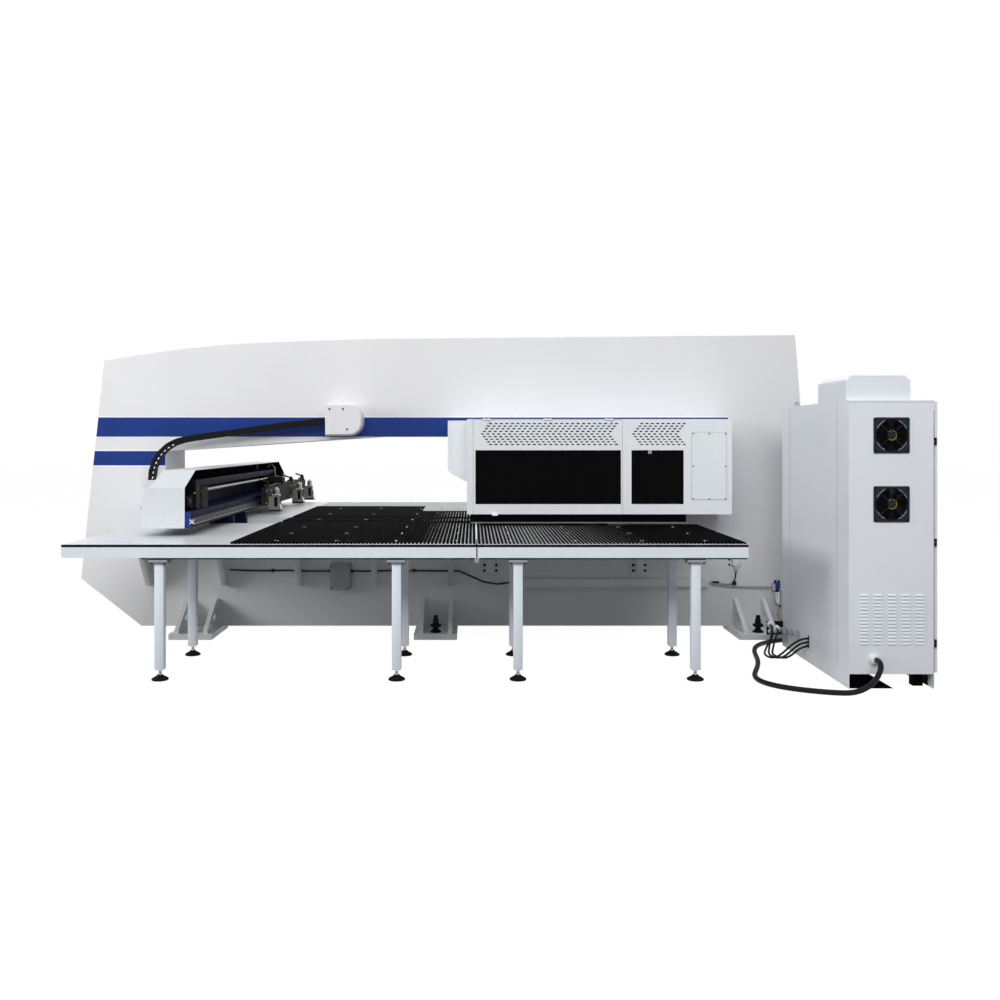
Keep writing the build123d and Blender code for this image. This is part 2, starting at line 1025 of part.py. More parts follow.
# Box on the frame that the cable chain leaves: flat to the left, rounded to the right
with BuildPart() as chain_box:
    with BuildSketch(elevation(-frame_half)) as box_face:
        with Locations(((chain_box_left + chain_box_right) / 2, (chain_box_bottom + chain_box_top) / 2)):
            Rectangle(chain_box_right - chain_box_left, chain_box_top - chain_box_bottom)
        fillet(box_face.vertices().group_by(Axis.X)[-1], chain_box_round)
    extrude(amount=chain_box_depth)
    chamfer(chain_box.faces().sort_by(Axis.Y)[0].edges(), 12)
chain_box.part.label = "chain_box"
export_step(chain_box.part, "parts/chain_box.step")

# Turrets: two discs on one axis with a ring of stations, tool heads above and dies below
upper_turret_top = upper_turret_bottom + upper_turret_thick
with BuildPart() as upper_turret:
    rod(plan(upper_turret_bottom), (turret_x, 0), turret_radius, upper_turret_thick)
    rod(plan(upper_turret_top), (turret_x, 0), hub_radius, hub_height)
    with BuildSketch(plan(upper_turret_top)):
        with Locations((turret_x, 0)):
            with PolarLocations(station_circle, station_count):
                RegularPolygon(station_radius, station_sides)
    extrude(amount=tool_head)
upper_turret.part.label = "upper_turret"
export_step(upper_turret.part, "parts/upper_turret.step")

with BuildPart() as lower_turret:
    rod(
        plan(lower_turret_bottom),
        (turret_x, 0),
        turret_radius,
        lower_turret_top - lower_turret_bottom,
    )
    rod(plan(throat_sill + 20), (turret_x, 0), hub_radius, lower_turret_bottom - throat_sill - 20)
    with BuildSketch(plan(lower_turret_top)):
        with Locations((turret_x, 0)):
            with PolarLocations(station_circle, station_count):
                RegularPolygon(die_radius, station_sides)
                RegularPolygon(die_bore, station_sides, mode=Mode.SUBTRACT)
    extrude(amount=die_lift)
lower_turret.part.label = "lower_turret"
export_step(lower_turret.part, "parts/lower_turret.step")

# Bearing housings of the turrets, above and below
with BuildPart() as turret_bearings:
    rod(
        plan(upper_turret_top + seat_gap),
        (turret_x, 0),
        bearing_radius,
        throat_top - upper_turret_top - seat_gap,
    )
    rod(
        plan(upper_turret_top),
        (turret_x, 0),
        hub_radius + running_fit,
        hub_height + seat_gap,
        mode=Mode.SUBTRACT,
    )
    rod(
        plan(throat_sill),
        (turret_x, 0),
        bearing_radius,
        lower_turret_bottom - throat_sill - seat_gap,
    )
    rod(
        plan(throat_sill + 20 - seat_gap),
        (turret_x, 0),
        hub_radius + running_fit,
        lower_turret_bottom - throat_sill,
        mode=Mode.SUBTRACT,
    )
turret_bearings.part.label = "turret_bearings"
export_step(turret_bearings.part, "parts/turret_bearings.step")

# Ram and its housing over the punching station
ram_bottom = upper_turret_top + tool_head + ram_gap
with BuildPart() as ram_housing:
    slab(
        (ram_x - ram_housing_width / 2, ram_x + ram_housing_width / 2),
        (-ram_housing_depth / 2, ram_housing_depth / 2),
        (ram_housing_bottom, throat_top),
    )
    chamfer(ram_housing.edges().filter_by(Axis.Z), 25)
    rod(
        plan(ram_housing_bottom),
        (ram_x, 0),
        ram_radius + running_fit,
        throat_top - ram_housing_bottom - 20,
        mode=Mode.SUBTRACT,
    )
ram_housing.part.label = "ram_housing"
export_step(ram_housing.part, "parts/ram_housing.step")

with BuildPart() as ram:
    rod(plan(ram_bottom), (ram_x, 0), ram_radius, ram_top - ram_bottom)
    chamfer(ram.edges().group_by(Axis.Z)[0], 6)
ram.part.label = "ram"
export_step(ram.part, "parts/ram.step")

# Guard shell: open to the rear and below, with the door's opening, a window and the outer knuckles
# and pins of the door's hinges
hinge_y = -guard_depth - hinge_out
hinge_z = guard_top - hinge_down
knuckle = hinge_length / 3
with BuildPart() as guard_shell:
    slab((guard_left, guard_right), (-guard_depth, -frame_half), (guard_bottom, guard_top))
    back_face = guard_shell.faces().sort_by(Axis.Y)[-1]
    low_face = guard_shell.faces().sort_by(Axis.Z)[0]
    offset(amount=-guard_sheet, openings=[back_face, low_face])
    front = (-guard_depth, -guard_depth + guard_sheet)
    slab((0, guard_seam), front, (guard_bottom, guard_top - guard_sheet), mode=Mode.SUBTRACT)
    slab((side_window_left, side_window_right), front, (window_bottom, window_top), mode=Mode.SUBTRACT)
    for hinge_x in hinge_xs:
        start = hinge_x - hinge_length / 2
        for knuckle_x in (start, start + 2 * knuckle):
            rod(section(knuckle_x), (hinge_y, hinge_z), hinge_radius, knuckle)
            slab(
                (knuckle_x, knuckle_x + knuckle),
                (hinge_y, -guard_depth + hinge_leaf_width),
                (guard_top, guard_top + hinge_leaf),
            )
        rod(section(start), (hinge_y, hinge_z), hinge_pin, hinge_length)
guard_shell.part.label = "guard_shell"
export_step(guard_shell.part, "parts/guard_shell.step")

# Guard door with its window opening, the middle knuckles of its hinges and the grip at its foot
with BuildPart() as guard_door:
    slab(
        (door_gap, guard_seam - door_gap),
        front,
        (guard_bottom, guard_top - guard_sheet - door_gap),
    )
    slab((window_left, window_right), front, (window_bottom, window_top), mode=Mode.SUBTRACT)
    for hinge_x in hinge_xs:
        leaf = (hinge_x - knuckle / 2 + seat_gap, hinge_x + knuckle / 2 - seat_gap)
        rod(section(leaf[0]), (hinge_y, hinge_z), hinge_radius, leaf[1] - leaf[0])
        slab(leaf, (hinge_y, -guard_depth), (hinge_z - hinge_leaf_width, hinge_z - 2))
        rod(
            section(leaf[0]),
            (hinge_y, hinge_z),
            hinge_pin + running_fit,
            leaf[1] - leaf[0],
            mode=Mode.SUBTRACT,
        )
    grip_low = guard_bottom + 4
    prism(
        section(latch_x - latch_width / 2),
        (
            (-guard_depth, grip_low),
            (-guard_depth, grip_low + latch_height),
            (-guard_depth - 6, grip_low + latch_height),
            (-guard_depth - 18, grip_low),
        ),
        latch_width,
    )
guard_door.part.label = "guard_door"
export_step(guard_door.part, "parts/guard_door.step")

# Dark panes behind the openings of the door and of the shell
pane_front = -guard_depth + guard_sheet
with BuildPart() as door_window:
    slab(
        (window_left - pane_lap, window_right + pane_lap),
        (pane_front, pane_front + pane_thick),
        (window_bottom - pane_lap, window_top + pane_lap),
    )
door_window.part.label = "door_window"
export_step(door_window.part, "parts/door_window.step")

with BuildPart() as side_window:
    slab(
        (side_window_left - pane_lap, side_window_right + pane_lap),
        (pane_front, pane_front + pane_thick),
        (window_bottom - pane_lap, window_top + pane_lap),
    )
side_window.part.label = "side_window"
export_step(side_window.part, "parts/side_window.step")

# Screwed access panel on the right of the guard
with BuildPart() as access_panel:
    slab(
        (access_left, access_right),
        (-guard_depth - access_thick, -guard_depth),
        (access_bottom, access_top),
    )
access_panel.part.label = "access_panel"
export_step(access_panel.part, "parts/access_panel.step")

# Side cover of the ram, left of the guard, through the throat and over both faces
with BuildPart() as ram_side_cover:
    side_outline = (
        (side_cover_left, side_cover_top),
        (guard_left - seat_gap, side_cover_top),
        (guard_left - seat_gap, side_cover_bottom),
        (side_cover_left + side_cover_nib, side_cover_toe),
        (side_cover_left, side_cover_low),
    )
    prism(elevation(side_cover_depth), side_outline, 2 * side_cover_depth)
    right_face = ram_side_cover.faces().sort_by(Axis.X)[-1]
    offset(amount=-guard_sheet, openings=[right_face])
    slab(
        (side_cover_left, 0),
        (-frame_half, frame_half),
        (throat_top, side_cover_top),
        mode=Mode.SUBTRACT,
    )
ram_side_cover.part.label = "ram_side_cover"
export_step(ram_side_cover.part, "parts/ram_side_cover.step")

# Rear guard, a plain closed copy of the front one
with BuildPart() as rear_guard:
    slab((guard_left, guard_right), (frame_half, guard_depth), (guard_bottom, guard_top))
    rear_open = rear_guard.faces().sort_by(Axis.Y)[0]
    rear_low = rear_guard.faces().sort_by(Axis.Z)[0]
    offset(amount=-guard_sheet, openings=[rear_open, rear_low])
rear_guard.part.label = "rear_guard"
export_step(rear_guard.part, "parts/rear_guard.step")

# Table frames: long rails with cross members, front and rear, left and right
table_plate_low = table_top - brush_height - plate_thickness
left_span = (table_left, table_seam - table_joint / 2)
right_span = (table_seam + table_joint / 2, table_right)
middle_row = leg_rows[2] - rail_depth / 2
table_spans = (
    (left_span, (-front_edge, -middle_row - rail_depth, -table_back - rail_depth)),
    (right_span, (-front_edge, -middle_row - rail_depth, -turret_clear - rail_depth)),
    (left_span, (table_back, middle_row, rear_edge - rail_depth)),
    (right_span, (turret_clear, middle_row, rear_edge - rail_depth)),
)
with BuildPart() as table_frames:
    for span_x, rail_ys in table_spans:
        middle_x = (span_x[0] + span_x[1] - rail_depth) / 2
        for rail_y in rail_ys:
            slab(span_x, (rail_y, rail_y + rail_depth), (table_under, table_plate_low))
        for near_rail, far_rail in zip(rail_ys, rail_ys[1:]):
            for member_x in (span_x[0], middle_x, span_x[1] - rail_depth):
                slab(
                    (member_x, member_x + rail_depth),
                    (near_rail + rail_depth + seat_gap, far_rail - seat_gap),
                    (table_under, table_plate_low),
                )
table_frames.part.label = "table_frames"
export_step(table_frames.part, "parts/table_frames.step")

# Throat table: its plate stands on four posts on the sill
throat_table_right = left_span[1]
post_half = 30
post_left = 200
post_right = 150
post_side = 70
with BuildPart() as throat_table_frame:
    slab(
        (brush_left, throat_table_right),
        (-slot_inner, slot_inner),
        (table_under + 30, table_plate_low),
    )
    slab(
        (brush_left + rail_depth, throat_table_right - rail_depth),
        (-slot_inner + rail_depth, slot_inner - rail_depth),
        (table_under + 30, table_plate_low),
        mode=Mode.SUBTRACT,
    )
    for post_x in (brush_left + post_left, throat_table_right - post_right):
        for side in (-1, 1):
            slab(
                (post_x - post_half, post_x + post_half),
                (side * post_side - post_half, side * post_side + post_half),
                (throat_sill, table_under + 30),
            )
        slab(
            (post_x - post_half, post_x + post_half),
            (-slot_inner, slot_inner),
            (table_under + 30, table_plate_low),
        )
throat_table_frame.part.label = "throat_table_frame"
export_step(throat_table_frame.part, "parts/throat_table_frame.step")

# Top plates of the tables: plain steel to the left and at the rear, and under the brushes
brush_spans = (
    ((brush_left, left_span[1]), (-front_edge + edge_strip, -table_back)),
    (right_span, (-front_edge + edge_strip, -turret_clear)),
    ((brush_left, throat_table_right), (-slot_inner, slot_inner)),
    ((brush_left, left_span[1]), (table_back, brush_rear)),
    (right_span, (turret_clear, brush_rear)),
)
with BuildPart() as table_plates:
    plate_z = (table_plate_low, table_plate_low + plate_thickness)
    slab((table_left, brush_left), (-front_edge + edge_strip, -table_back), plate_z)
    slab((table_left, brush_left), (table_back, rear_edge), plate_z)
    slab((brush_left, left_span[1]), (brush_rear, rear_edge), plate_z)
    slab(right_span, (brush_rear, rear_edge), plate_z)
    for span_x, span_y in brush_spans:
        slab(span_x, span_y, plate_z)
table_plates.part.label = "table_plates"
export_step(table_plates.part, "parts/table_plates.step")

# Brushes, swept by the lower jaws of the clamps
with BuildPart() as brushes:
    for span_x, span_y in brush_spans:
        slab(
            (span_x[0] + brush_width, span_x[1] - brush_width),
            (span_y[0] + 4, span_y[1] - 4),
            (table_top - brush_height, table_top),
        )
brushes.part.label = "brushes"
export_step(brushes.part, "parts/brushes.step")

# Edge strips along the front of the tables
with BuildPart() as edge_strips:
    for span_x in (left_span, right_span):
        slab(
            span_x,
            (-front_edge, -front_edge + edge_strip),
            (table_plate_low, table_plate_low + plate_thickness),
        )
edge_strips.part.label = "edge_strips"
export_step(edge_strips.part, "parts/edge_strips.step")

# Legs with flanges, studs and feet, under the front and the rear tables
leg_top = table_under - leg_flange_thick
leg_places = [(leg_x, row) for leg_x in leg_xs for row in leg_rows]
with BuildPart() as table_legs:
    with BuildSketch(plan(leg_lift)):
        with Locations(*leg_places):
            Rectangle(leg_tube, leg_tube)
    extrude(amount=leg_top - leg_lift)
    with BuildSketch(plan(leg_top)):
        with Locations(*leg_places):
            Rectangle(leg_flange, leg_flange)
    extrude(amount=leg_flange_thick)
table_legs.part.label = "table_legs"
export_step(table_legs.part, "parts/table_legs.step")

# Feet of the legs: a rubber cone, a hexagonal nut on it, the stud and the nut under the tube
with BuildPart() as leg_feet:
    for leg_place in leg_places:
        tapers(leg_place, 0, ((0, leg_foot), (leg_foot_height - nut_height, leg_nut)), round_sides)
        for nut_low in (leg_foot_height - nut_height, leg_lift - nut_height):
            polygon_bar(leg_place, (nut_low, nut_low + nut_height), leg_nut, nut_sides)
        polygon_bar(leg_place, (leg_foot_height, leg_lift - nut_height), leg_stud, nut_sides)
leg_feet.part.label = "leg_feet"
export_step(leg_feet.part, "parts/leg_feet.step")

# Triangular brackets that carry the inner edges of the tables on the frame, and the folded ones
# that reach out under the turret to the right-hand tables
with BuildPart() as table_brackets:
    for number in range(bracket_count):
        bracket_x = bracket_first + number * bracket_pitch
        prism(
            section(bracket_x - bracket_plate / 2),
            (
                (-frame_half, bracket_foot),
                (-frame_half, table_under),
                (-frame_half - bracket_reach, table_under),
                (-frame_half - bracket_reach, table_under - 60),
                (-frame_half - 60, bracket_foot),
            ),
            bracket_plate,
        )
    for middle in ledge_middles:
        prism(
            section(middle - ledge_width / 2),
            (
                (-frame_half, ledge_foot),
                (-frame_half, ledge_top),
                (-turret_clear - ledge_thick / 2, ledge_top),
                (-turret_clear - ledge_thick / 2, table_under),
                (-turret_clear - rail_depth, table_under),
                (-turret_clear - rail_depth, ledge_top - ledge_thick),
                (-frame_half - ledge_thick, ledge_top - ledge_thick),
                (-frame_half - ledge_thick, ledge_foot),
            ),
            ledge_width,
        )
    mirror(about=middle_plane)
table_brackets.part.label = "table_brackets"
export_step(table_brackets.part, "parts/table_brackets.step")

# Level service rail on the frame under the right-hand table
with BuildPart() as under_rail:
    slab((service_left, service_right), (-frame_half - service_depth, -frame_half), (service_low, service_high))
under_rail.part.label = "under_rail"
export_step(under_rail.part, "parts/under_rail.step")

# Junction box on the frame under the table
with BuildPart() as junction_box:
    slab(
        (junction_left, junction_right),
        (-frame_half - junction_depth, -frame_half),
        (junction_low, junction_high),
    )
    chamfer(junction_box.edges().filter_by(Axis.Y), 6)
junction_box.part.label = "junction_box"
export_step(junction_box.part, "parts/junction_box.step")

# Filter and pressure regulator of the air supply: block, bowl and two knobs
air_y = -frame_half - air_stand
with BuildPart() as air_unit:
    slab(
        (air_x - air_half, air_x + air_half),
        (air_y - bowl_radius, -frame_half),
        (air_low, air_high),
    )
    rod(plan(air_low - bowl_length), (air_x, air_y), bowl_radius, bowl_length)
    for side in (-1, 1):
        rod(plan(air_high), (air_x + side * air_half / 2, air_y), knob_radius, knob_length)
air_unit.part.label = "air_unit"
export_step(air_unit.part, "parts/air_unit.step")

# Cabinet shell: side panels to the floor and four plinth feet, open to the right behind the doors,
# with two fan openings, the gland's hole and the slot of the side cables
cabinet_xs = (cabinet_left, cabinet_right)
cabinet_ys = (-cabinet_front, -cabinet_back)
with BuildPart() as cabinet_shell:
    slab(cabinet_xs, cabinet_ys, (cabinet_bottom, cabinet_top))
    door_side = cabinet_shell.faces().sort_by(Axis.X)[-1]
    offset(amount=-cabinet_sheet, openings=[door_side])
    for near in (-cabinet_front, -cabinet_back - cabinet_lip):
        slab(
            (cabinet_right - cabinet_sheet, cabinet_right),
            (near, near + cabinet_lip),
            (cabinet_bottom, cabinet_top),
        )
    for low in (cabinet_bottom, cabinet_top - cabinet_lip):
        slab(
            (cabinet_right - cabinet_sheet, cabinet_right),
            cabinet_ys,
            (low, low + cabinet_lip),
        )
    slab(
        (cabinet_left, cabinet_left + cabinet_sheet),
        cabinet_ys,
        (side_panel_foot, cabinet_bottom),
    )
    slab(
        (cabinet_right - cabinet_sheet, cabinet_right),
        cabinet_ys,
        (side_panel_foot, cabinet_bottom),
    )
    with BuildSketch(elevation(-cabinet_front + cabinet_sheet)):
        for fan_z in fan_zs:
            with Locations((fan_x, fan_z)):
                Circle(fan_bore + fan_wall + seat_gap)
        with Locations((gland_x, gland_z)):
            Circle(gland_radius * 0.6)
    extrude(amount=cabinet_sheet, mode=Mode.SUBTRACT)
    slab(
        (cabinet_left, cabinet_left + cabinet_sheet),
        (slot_y - slot_width / 2, slot_y + slot_width / 2),
        (slot_low, slot_high),
        mode=Mode.SUBTRACT,
    )
    for foot_x in (cabinet_left + plinth_inset, cabinet_right - plinth_inset - plinth_foot):
        for foot_y in (-cabinet_front + plinth_setback, -cabinet_back - plinth_setback - plinth_foot):
            slab((foot_x, foot_x + plinth_foot), (foot_y, foot_y + plinth_foot), (0, cabinet_bottom))
cabinet_shell.part.label = "cabinet_shell"
export_step(cabinet_shell.part, "parts/cabinet_shell.step")

# Mounting plate inside the cabinet, opposite the doors
with BuildPart() as mounting_panel:
    slab(
        (cabinet_left + cabinet_sheet, cabinet_left + cabinet_sheet + panel_stand),
        (-cabinet_front + panel_front, -cabinet_back - panel_back),
        (cabinet_bottom + panel_low, cabinet_top - panel_drop),
    )
mounting_panel.part.label = "mounting_panel"
export_step(mounting_panel.part, "parts/mounting_panel.step")

# Cabinet doors: folded pans that meet in the middle, hinged at the outer corners
door_middle = -(cabinet_front + cabinet_back) / 2
door_plane_x = cabinet_right + seat_gap
door_face_x = cabinet_right + door_thick
door_z = (cabinet_bottom + door_edge, cabinet_top - door_edge)
front_leaf = (-cabinet_front + 2 * door_hinge_radius + 2, door_middle - leaf_gap / 2)
rear_leaf = (door_middle + leaf_gap / 2, -cabinet_back - 2 * door_hinge_radius - 2)
hinge_axis_x = cabinet_right + door_hinge_radius + 1
front_axis_y = -cabinet_front + door_hinge_radius
rear_axis_y = -cabinet_back - door_hinge_radius
knuckle_height = door_hinge_height / 2
for leaf_name, leaf_y, axis_y, strap in (
    ("cabinet_door_front", front_leaf, front_axis_y, 1),
    ("cabinet_door_rear", rear_leaf, rear_axis_y, -1),
):
    with BuildPart() as cabinet_door:
        slab((door_plane_x, door_face_x), leaf_y, door_z)
        slab(
            (door_plane_x, door_face_x - door_sheet),
            (leaf_y[0] + door_sheet, leaf_y[1] - door_sheet),
            (door_z[0] + door_sheet, door_z[1] - door_sheet),
            mode=Mode.SUBTRACT,
        )
        for knuckle_z in door_hinge_zs:
            base = plan(knuckle_z + seat_gap)
            rod(base, (hinge_axis_x, axis_y), door_hinge_radius, knuckle_height - seat_gap)
            strap_y = sorted((axis_y, axis_y + strap * (door_hinge_radius + 6)))
            slab(
                (hinge_axis_x, hinge_axis_x + door_hinge_radius),
                strap_y,
                (knuckle_z + seat_gap, knuckle_z + knuckle_height),
            )
            rod(
                base,
                (hinge_axis_x, axis_y),
                hinge_pin + running_fit,
                knuckle_height,
                mode=Mode.SUBTRACT,
            )
    cabinet_door.part.label = leaf_name
    export_step(cabinet_door.part, f"parts/{leaf_name}.step")

# Lower knuckles and pins of the cabinet hinges
with BuildPart() as cabinet_hinges:
    for axis_y, inward in ((front_axis_y, 1), (rear_axis_y, -1)):
        for knuckle_z in door_hinge_zs:
            low = knuckle_z - knuckle_height
            rod(plan(low), (hinge_axis_x, axis_y), door_hinge_radius, knuckle_height)
            rod(plan(low), (hinge_axis_x, axis_y), hinge_pin, 2 * knuckle_height)
            slab(
                (cabinet_right, hinge_axis_x),
                (axis_y - door_hinge_radius * 0.6, axis_y + door_hinge_radius * 0.6),
                (low, low + knuckle_height),
            )
cabinet_hinges.part.label = "cabinet_hinges"
export_step(cabinet_hinges.part, "parts/cabinet_hinges.step")

# Turning handles on the meeting edges of the doors
handle_out = 45
for handle_name, handle_y in (
    ("door_handle_front", door_middle - handle_out),
    ("door_handle_rear", door_middle + handle_out),
):
    with BuildPart() as door_handle:
        rod(section(door_face_x + seat_gap), (handle_y, handle_z), handle_boss, handle_reach - 16)
        with BuildSketch(section(door_face_x + handle_reach - 16)):
            with Locations((handle_y, handle_z - handle_length / 2 + handle_width / 2)):
                SlotOverall(handle_length, handle_width, rotation=90)
        extrude(amount=16)
    door_handle.part.label = handle_name
    export_step(door_handle.part, f"parts/{handle_name}.step")

# Fans: a square flange, a round duct, four struts and a hub plate, with the impeller inside
fan_face = -cabinet_front - fan_flange
with BuildPart() as fan_frames:
    for fan_z in fan_zs:
        with BuildSketch(elevation(-cabinet_front)):
            with Locations((fan_x, fan_z)):
                RectangleRounded(fan_size, fan_size, 10)
                Circle(fan_bore, mode=Mode.SUBTRACT)
        extrude(amount=fan_flange)
        with BuildSketch(elevation(fan_face + fan_depth)):
            with Locations((fan_x, fan_z)):
                Circle(fan_bore + fan_wall)
                Circle(fan_bore, mode=Mode.SUBTRACT)
        extrude(amount=fan_depth)
        with BuildSketch(elevation(-cabinet_front)):
            with Locations((fan_x, fan_z)):
                Rectangle(2 * fan_bore + 2, fan_strut, rotation=45)
                Rectangle(2 * fan_bore + 2, fan_strut, rotation=-45)
                Circle(fan_hub)
        extrude(amount=fan_flange)
fan_frames.part.label = "fan_frames"
export_step(fan_frames.part, "parts/fan_frames.step")

impeller_depth = 34
impeller_back = -cabinet_front + seat_gap + impeller_depth
blade_twist = 35
for fan_name, fan_z in zip(("fan_impeller_upper", "fan_impeller_lower"), fan_zs):
    with BuildPart() as fan_impeller:
        rod(elevation(impeller_back), (fan_x, fan_z), fan_hub, impeller_depth)
        for turn in range(fan_blades):
            angle = turn * 360 / fan_blades
            root = Location((datum_x + fan_x, datum_y + impeller_back - impeller_depth / 2, fan_z), (0, angle, 0))
            blade = root * Location((fan_hub - 3, 0, 0)) * Location((0, 0, 0), (blade_twist, 0, 0))
            with Locations(blade):
                Box(
                    fan_tip - fan_hub + 3,
                    3,
                    46,
                    align=(Align.MIN, Align.CENTER, Align.CENTER),
                )
    fan_impeller.part.label = fan_name
    export_step(fan_impeller.part, f"parts/{fan_name}.step")

# Cooling box on top of the cabinet
with BuildPart() as top_box:
    prism(
        elevation(-top_box_back),
        (
            (cabinet_left, cabinet_top),
            (cabinet_left, top_box_top - top_box_round),
            (cabinet_left + top_box_round, top_box_top),
            (top_box_right - top_box_round, top_box_top),
            (top_box_right, top_box_top - top_box_round),
            (top_box_right, cabinet_top),
        ),
        top_box_front - top_box_back,
    )
top_box.part.label = "top_box"
export_step(top_box.part, "parts/top_box.step")

# Glands of the thick cable, on the cabinet's front and on the frame's face
with BuildPart() as cable_glands:
    for gland_plane, middle in (
        (-cabinet_front, (gland_x, gland_z)),
        (-frame_half, (frame_gland_x, frame_gland_z)),
    ):
        rod(elevation(gland_plane), middle, gland_radius, gland_length / 2)
        rod(elevation(gland_plane - gland_length / 2), middle, gland_radius * 0.8, gland_length / 2)
cable_glands.part.label = "cable_glands"
export_step(cable_glands.part, "parts/cable_glands.step")

# Connector bank at the cabinet's rear left edge: a bracket with three glands, and three plugs
with BuildPart() as side_connectors:
    slab(
        (cabinet_left - bank_reach, cabinet_left),
        (bank_y, bank_y + bank_thick),
        (bank_low, bank_high),
    )
    for across, height in bank_glands:
        rod(elevation(bank_y), (cabinet_left + across, height), bank_gland_radius, bank_gland_length)
    for plug_y in plug_ys:
        slab(
            (cabinet_left - plug_reach, cabinet_left),
            (plug_y - plug_width / 2, plug_y + plug_width / 2),
            (plug_low, plug_low + plug_height),
        )
side_connectors.part.label = "side_connectors"
export_step(side_connectors.part, "parts/side_connectors.step")


def cord_route(points):
    """The machine's datum added to a cord's points, and the largest arc that fits each corner."""
    corners = [Vector(datum_x + x, datum_y + y, z) for x, y, z in points]
    runs = [after - before for before, after in zip(corners, corners[1:])]
    radii = []
    for run, following in zip(runs, runs[1:]):
        half_turn = math.radians(run.get_angle(following)) / 2
        radii.append(0.45 * min(run.length, following.length) / math.tan(half_turn))
    return corners, radii


# Cords: the thick cable from gland to gland over the floor, and the three thin cables from the
# cabinet's slot to the connector bank
for cord_name, cord_points, cord_radius in (
    ("main_cable", main_cable_points, main_cable_radius),
    ("side_cable_left", side_cable_left_points, side_cable_radius),
    ("side_cable_middle", side_cable_middle_points, side_cable_radius),
    ("side_cable_right", side_cable_right_points, side_cable_radius),
):
    corners, radii = cord_route(cord_points)
    with BuildPart() as cord:
        with BuildLine() as route:
            FilletPolyline(*corners, radius=radii)
        route_length = sum(edge.length for edge in route.line.edges())
        first_run = corners[1] - corners[0]
        with BuildSketch(Plane(corners[0], z_dir=first_run)):
            Circle(cord_radius)
        sweep()
    print(cord_name, "length", round(route_length), "smallest radius", round(min(radii)))
    print("  radii", [round(radius) for radius in radii])
    share = cord.part.volume / (math.pi * cord_radius**2 * route_length)
    print("  volume against section times length", round(share, 4))
    cord.part.label = cord_name
    export_step(cord.part, f"parts/{cord_name}.step")
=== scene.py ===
# A CNC turret punch press: materials, fine forms, cables, camera and light around its CAD frame
import math
from functools import partial

import bmesh
import bpy
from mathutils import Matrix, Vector


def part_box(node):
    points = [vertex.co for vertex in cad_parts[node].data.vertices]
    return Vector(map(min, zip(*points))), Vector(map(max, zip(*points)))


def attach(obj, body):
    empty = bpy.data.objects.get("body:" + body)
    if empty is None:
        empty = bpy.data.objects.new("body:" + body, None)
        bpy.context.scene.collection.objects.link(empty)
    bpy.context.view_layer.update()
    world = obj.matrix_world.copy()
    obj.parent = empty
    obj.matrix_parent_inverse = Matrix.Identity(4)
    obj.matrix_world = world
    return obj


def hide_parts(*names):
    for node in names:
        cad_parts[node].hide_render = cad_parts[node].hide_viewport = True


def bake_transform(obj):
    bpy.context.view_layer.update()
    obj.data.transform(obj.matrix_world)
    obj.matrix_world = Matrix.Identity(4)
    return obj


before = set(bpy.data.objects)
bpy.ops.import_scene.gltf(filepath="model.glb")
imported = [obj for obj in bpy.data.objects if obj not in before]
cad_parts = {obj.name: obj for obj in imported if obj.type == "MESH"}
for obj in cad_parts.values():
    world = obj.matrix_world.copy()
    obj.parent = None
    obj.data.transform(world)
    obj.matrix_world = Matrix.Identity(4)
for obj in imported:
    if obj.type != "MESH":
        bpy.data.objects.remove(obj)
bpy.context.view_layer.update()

# Places below are in the machine's millimetres, as in the part: X from the guard's left fold, Y from
# the frame's middle plane, Z from the floor. The datum takes them to the row frame.
DATUM = Vector((0.1215, -0.352, 0.0))
MM = 0.001


def at(x, y, z):
    """A machine point in millimetres, as a point of the row frame in metres."""
    return Vector((x * MM, y * MM, z * MM)) + DATUM


def about(middle, half):
    """The span of this half width about a middle."""
    return middle - half, middle + half


def in_scene(name, data):
    """A new object of this data, in the scene."""
    made = bpy.data.objects.new(name, data)
    bpy.context.scene.collection.objects.link(made)
    return made


# Camera: level, at the photograph's height, its frame shifted a little right and down
camera_data = bpy.data.cameras.new("camera")
camera_data.sensor_width = 36
camera_data.lens = 37.8
camera_data.shift_x = 0.027
camera_data.shift_y = -0.058
camera_data.clip_end = 200
camera = in_scene("camera", camera_data)
camera.location = at(0, -8890, 1550)
camera.rotation_euler = (math.radians(90), 0, 0)
bpy.context.scene.camera = camera


def linear(colour, factor=1.0):
    """A display colour in 0 to 255 as linear light, made darker or lighter by a factor."""
    shares = [value / 255 for value in colour]
    plain = [share / 12.92 if share <= 0.04045 else ((share + 0.055) / 1.055) ** 2.4 for share in shares]
    return [min(1.0, value * factor) for value in plain]


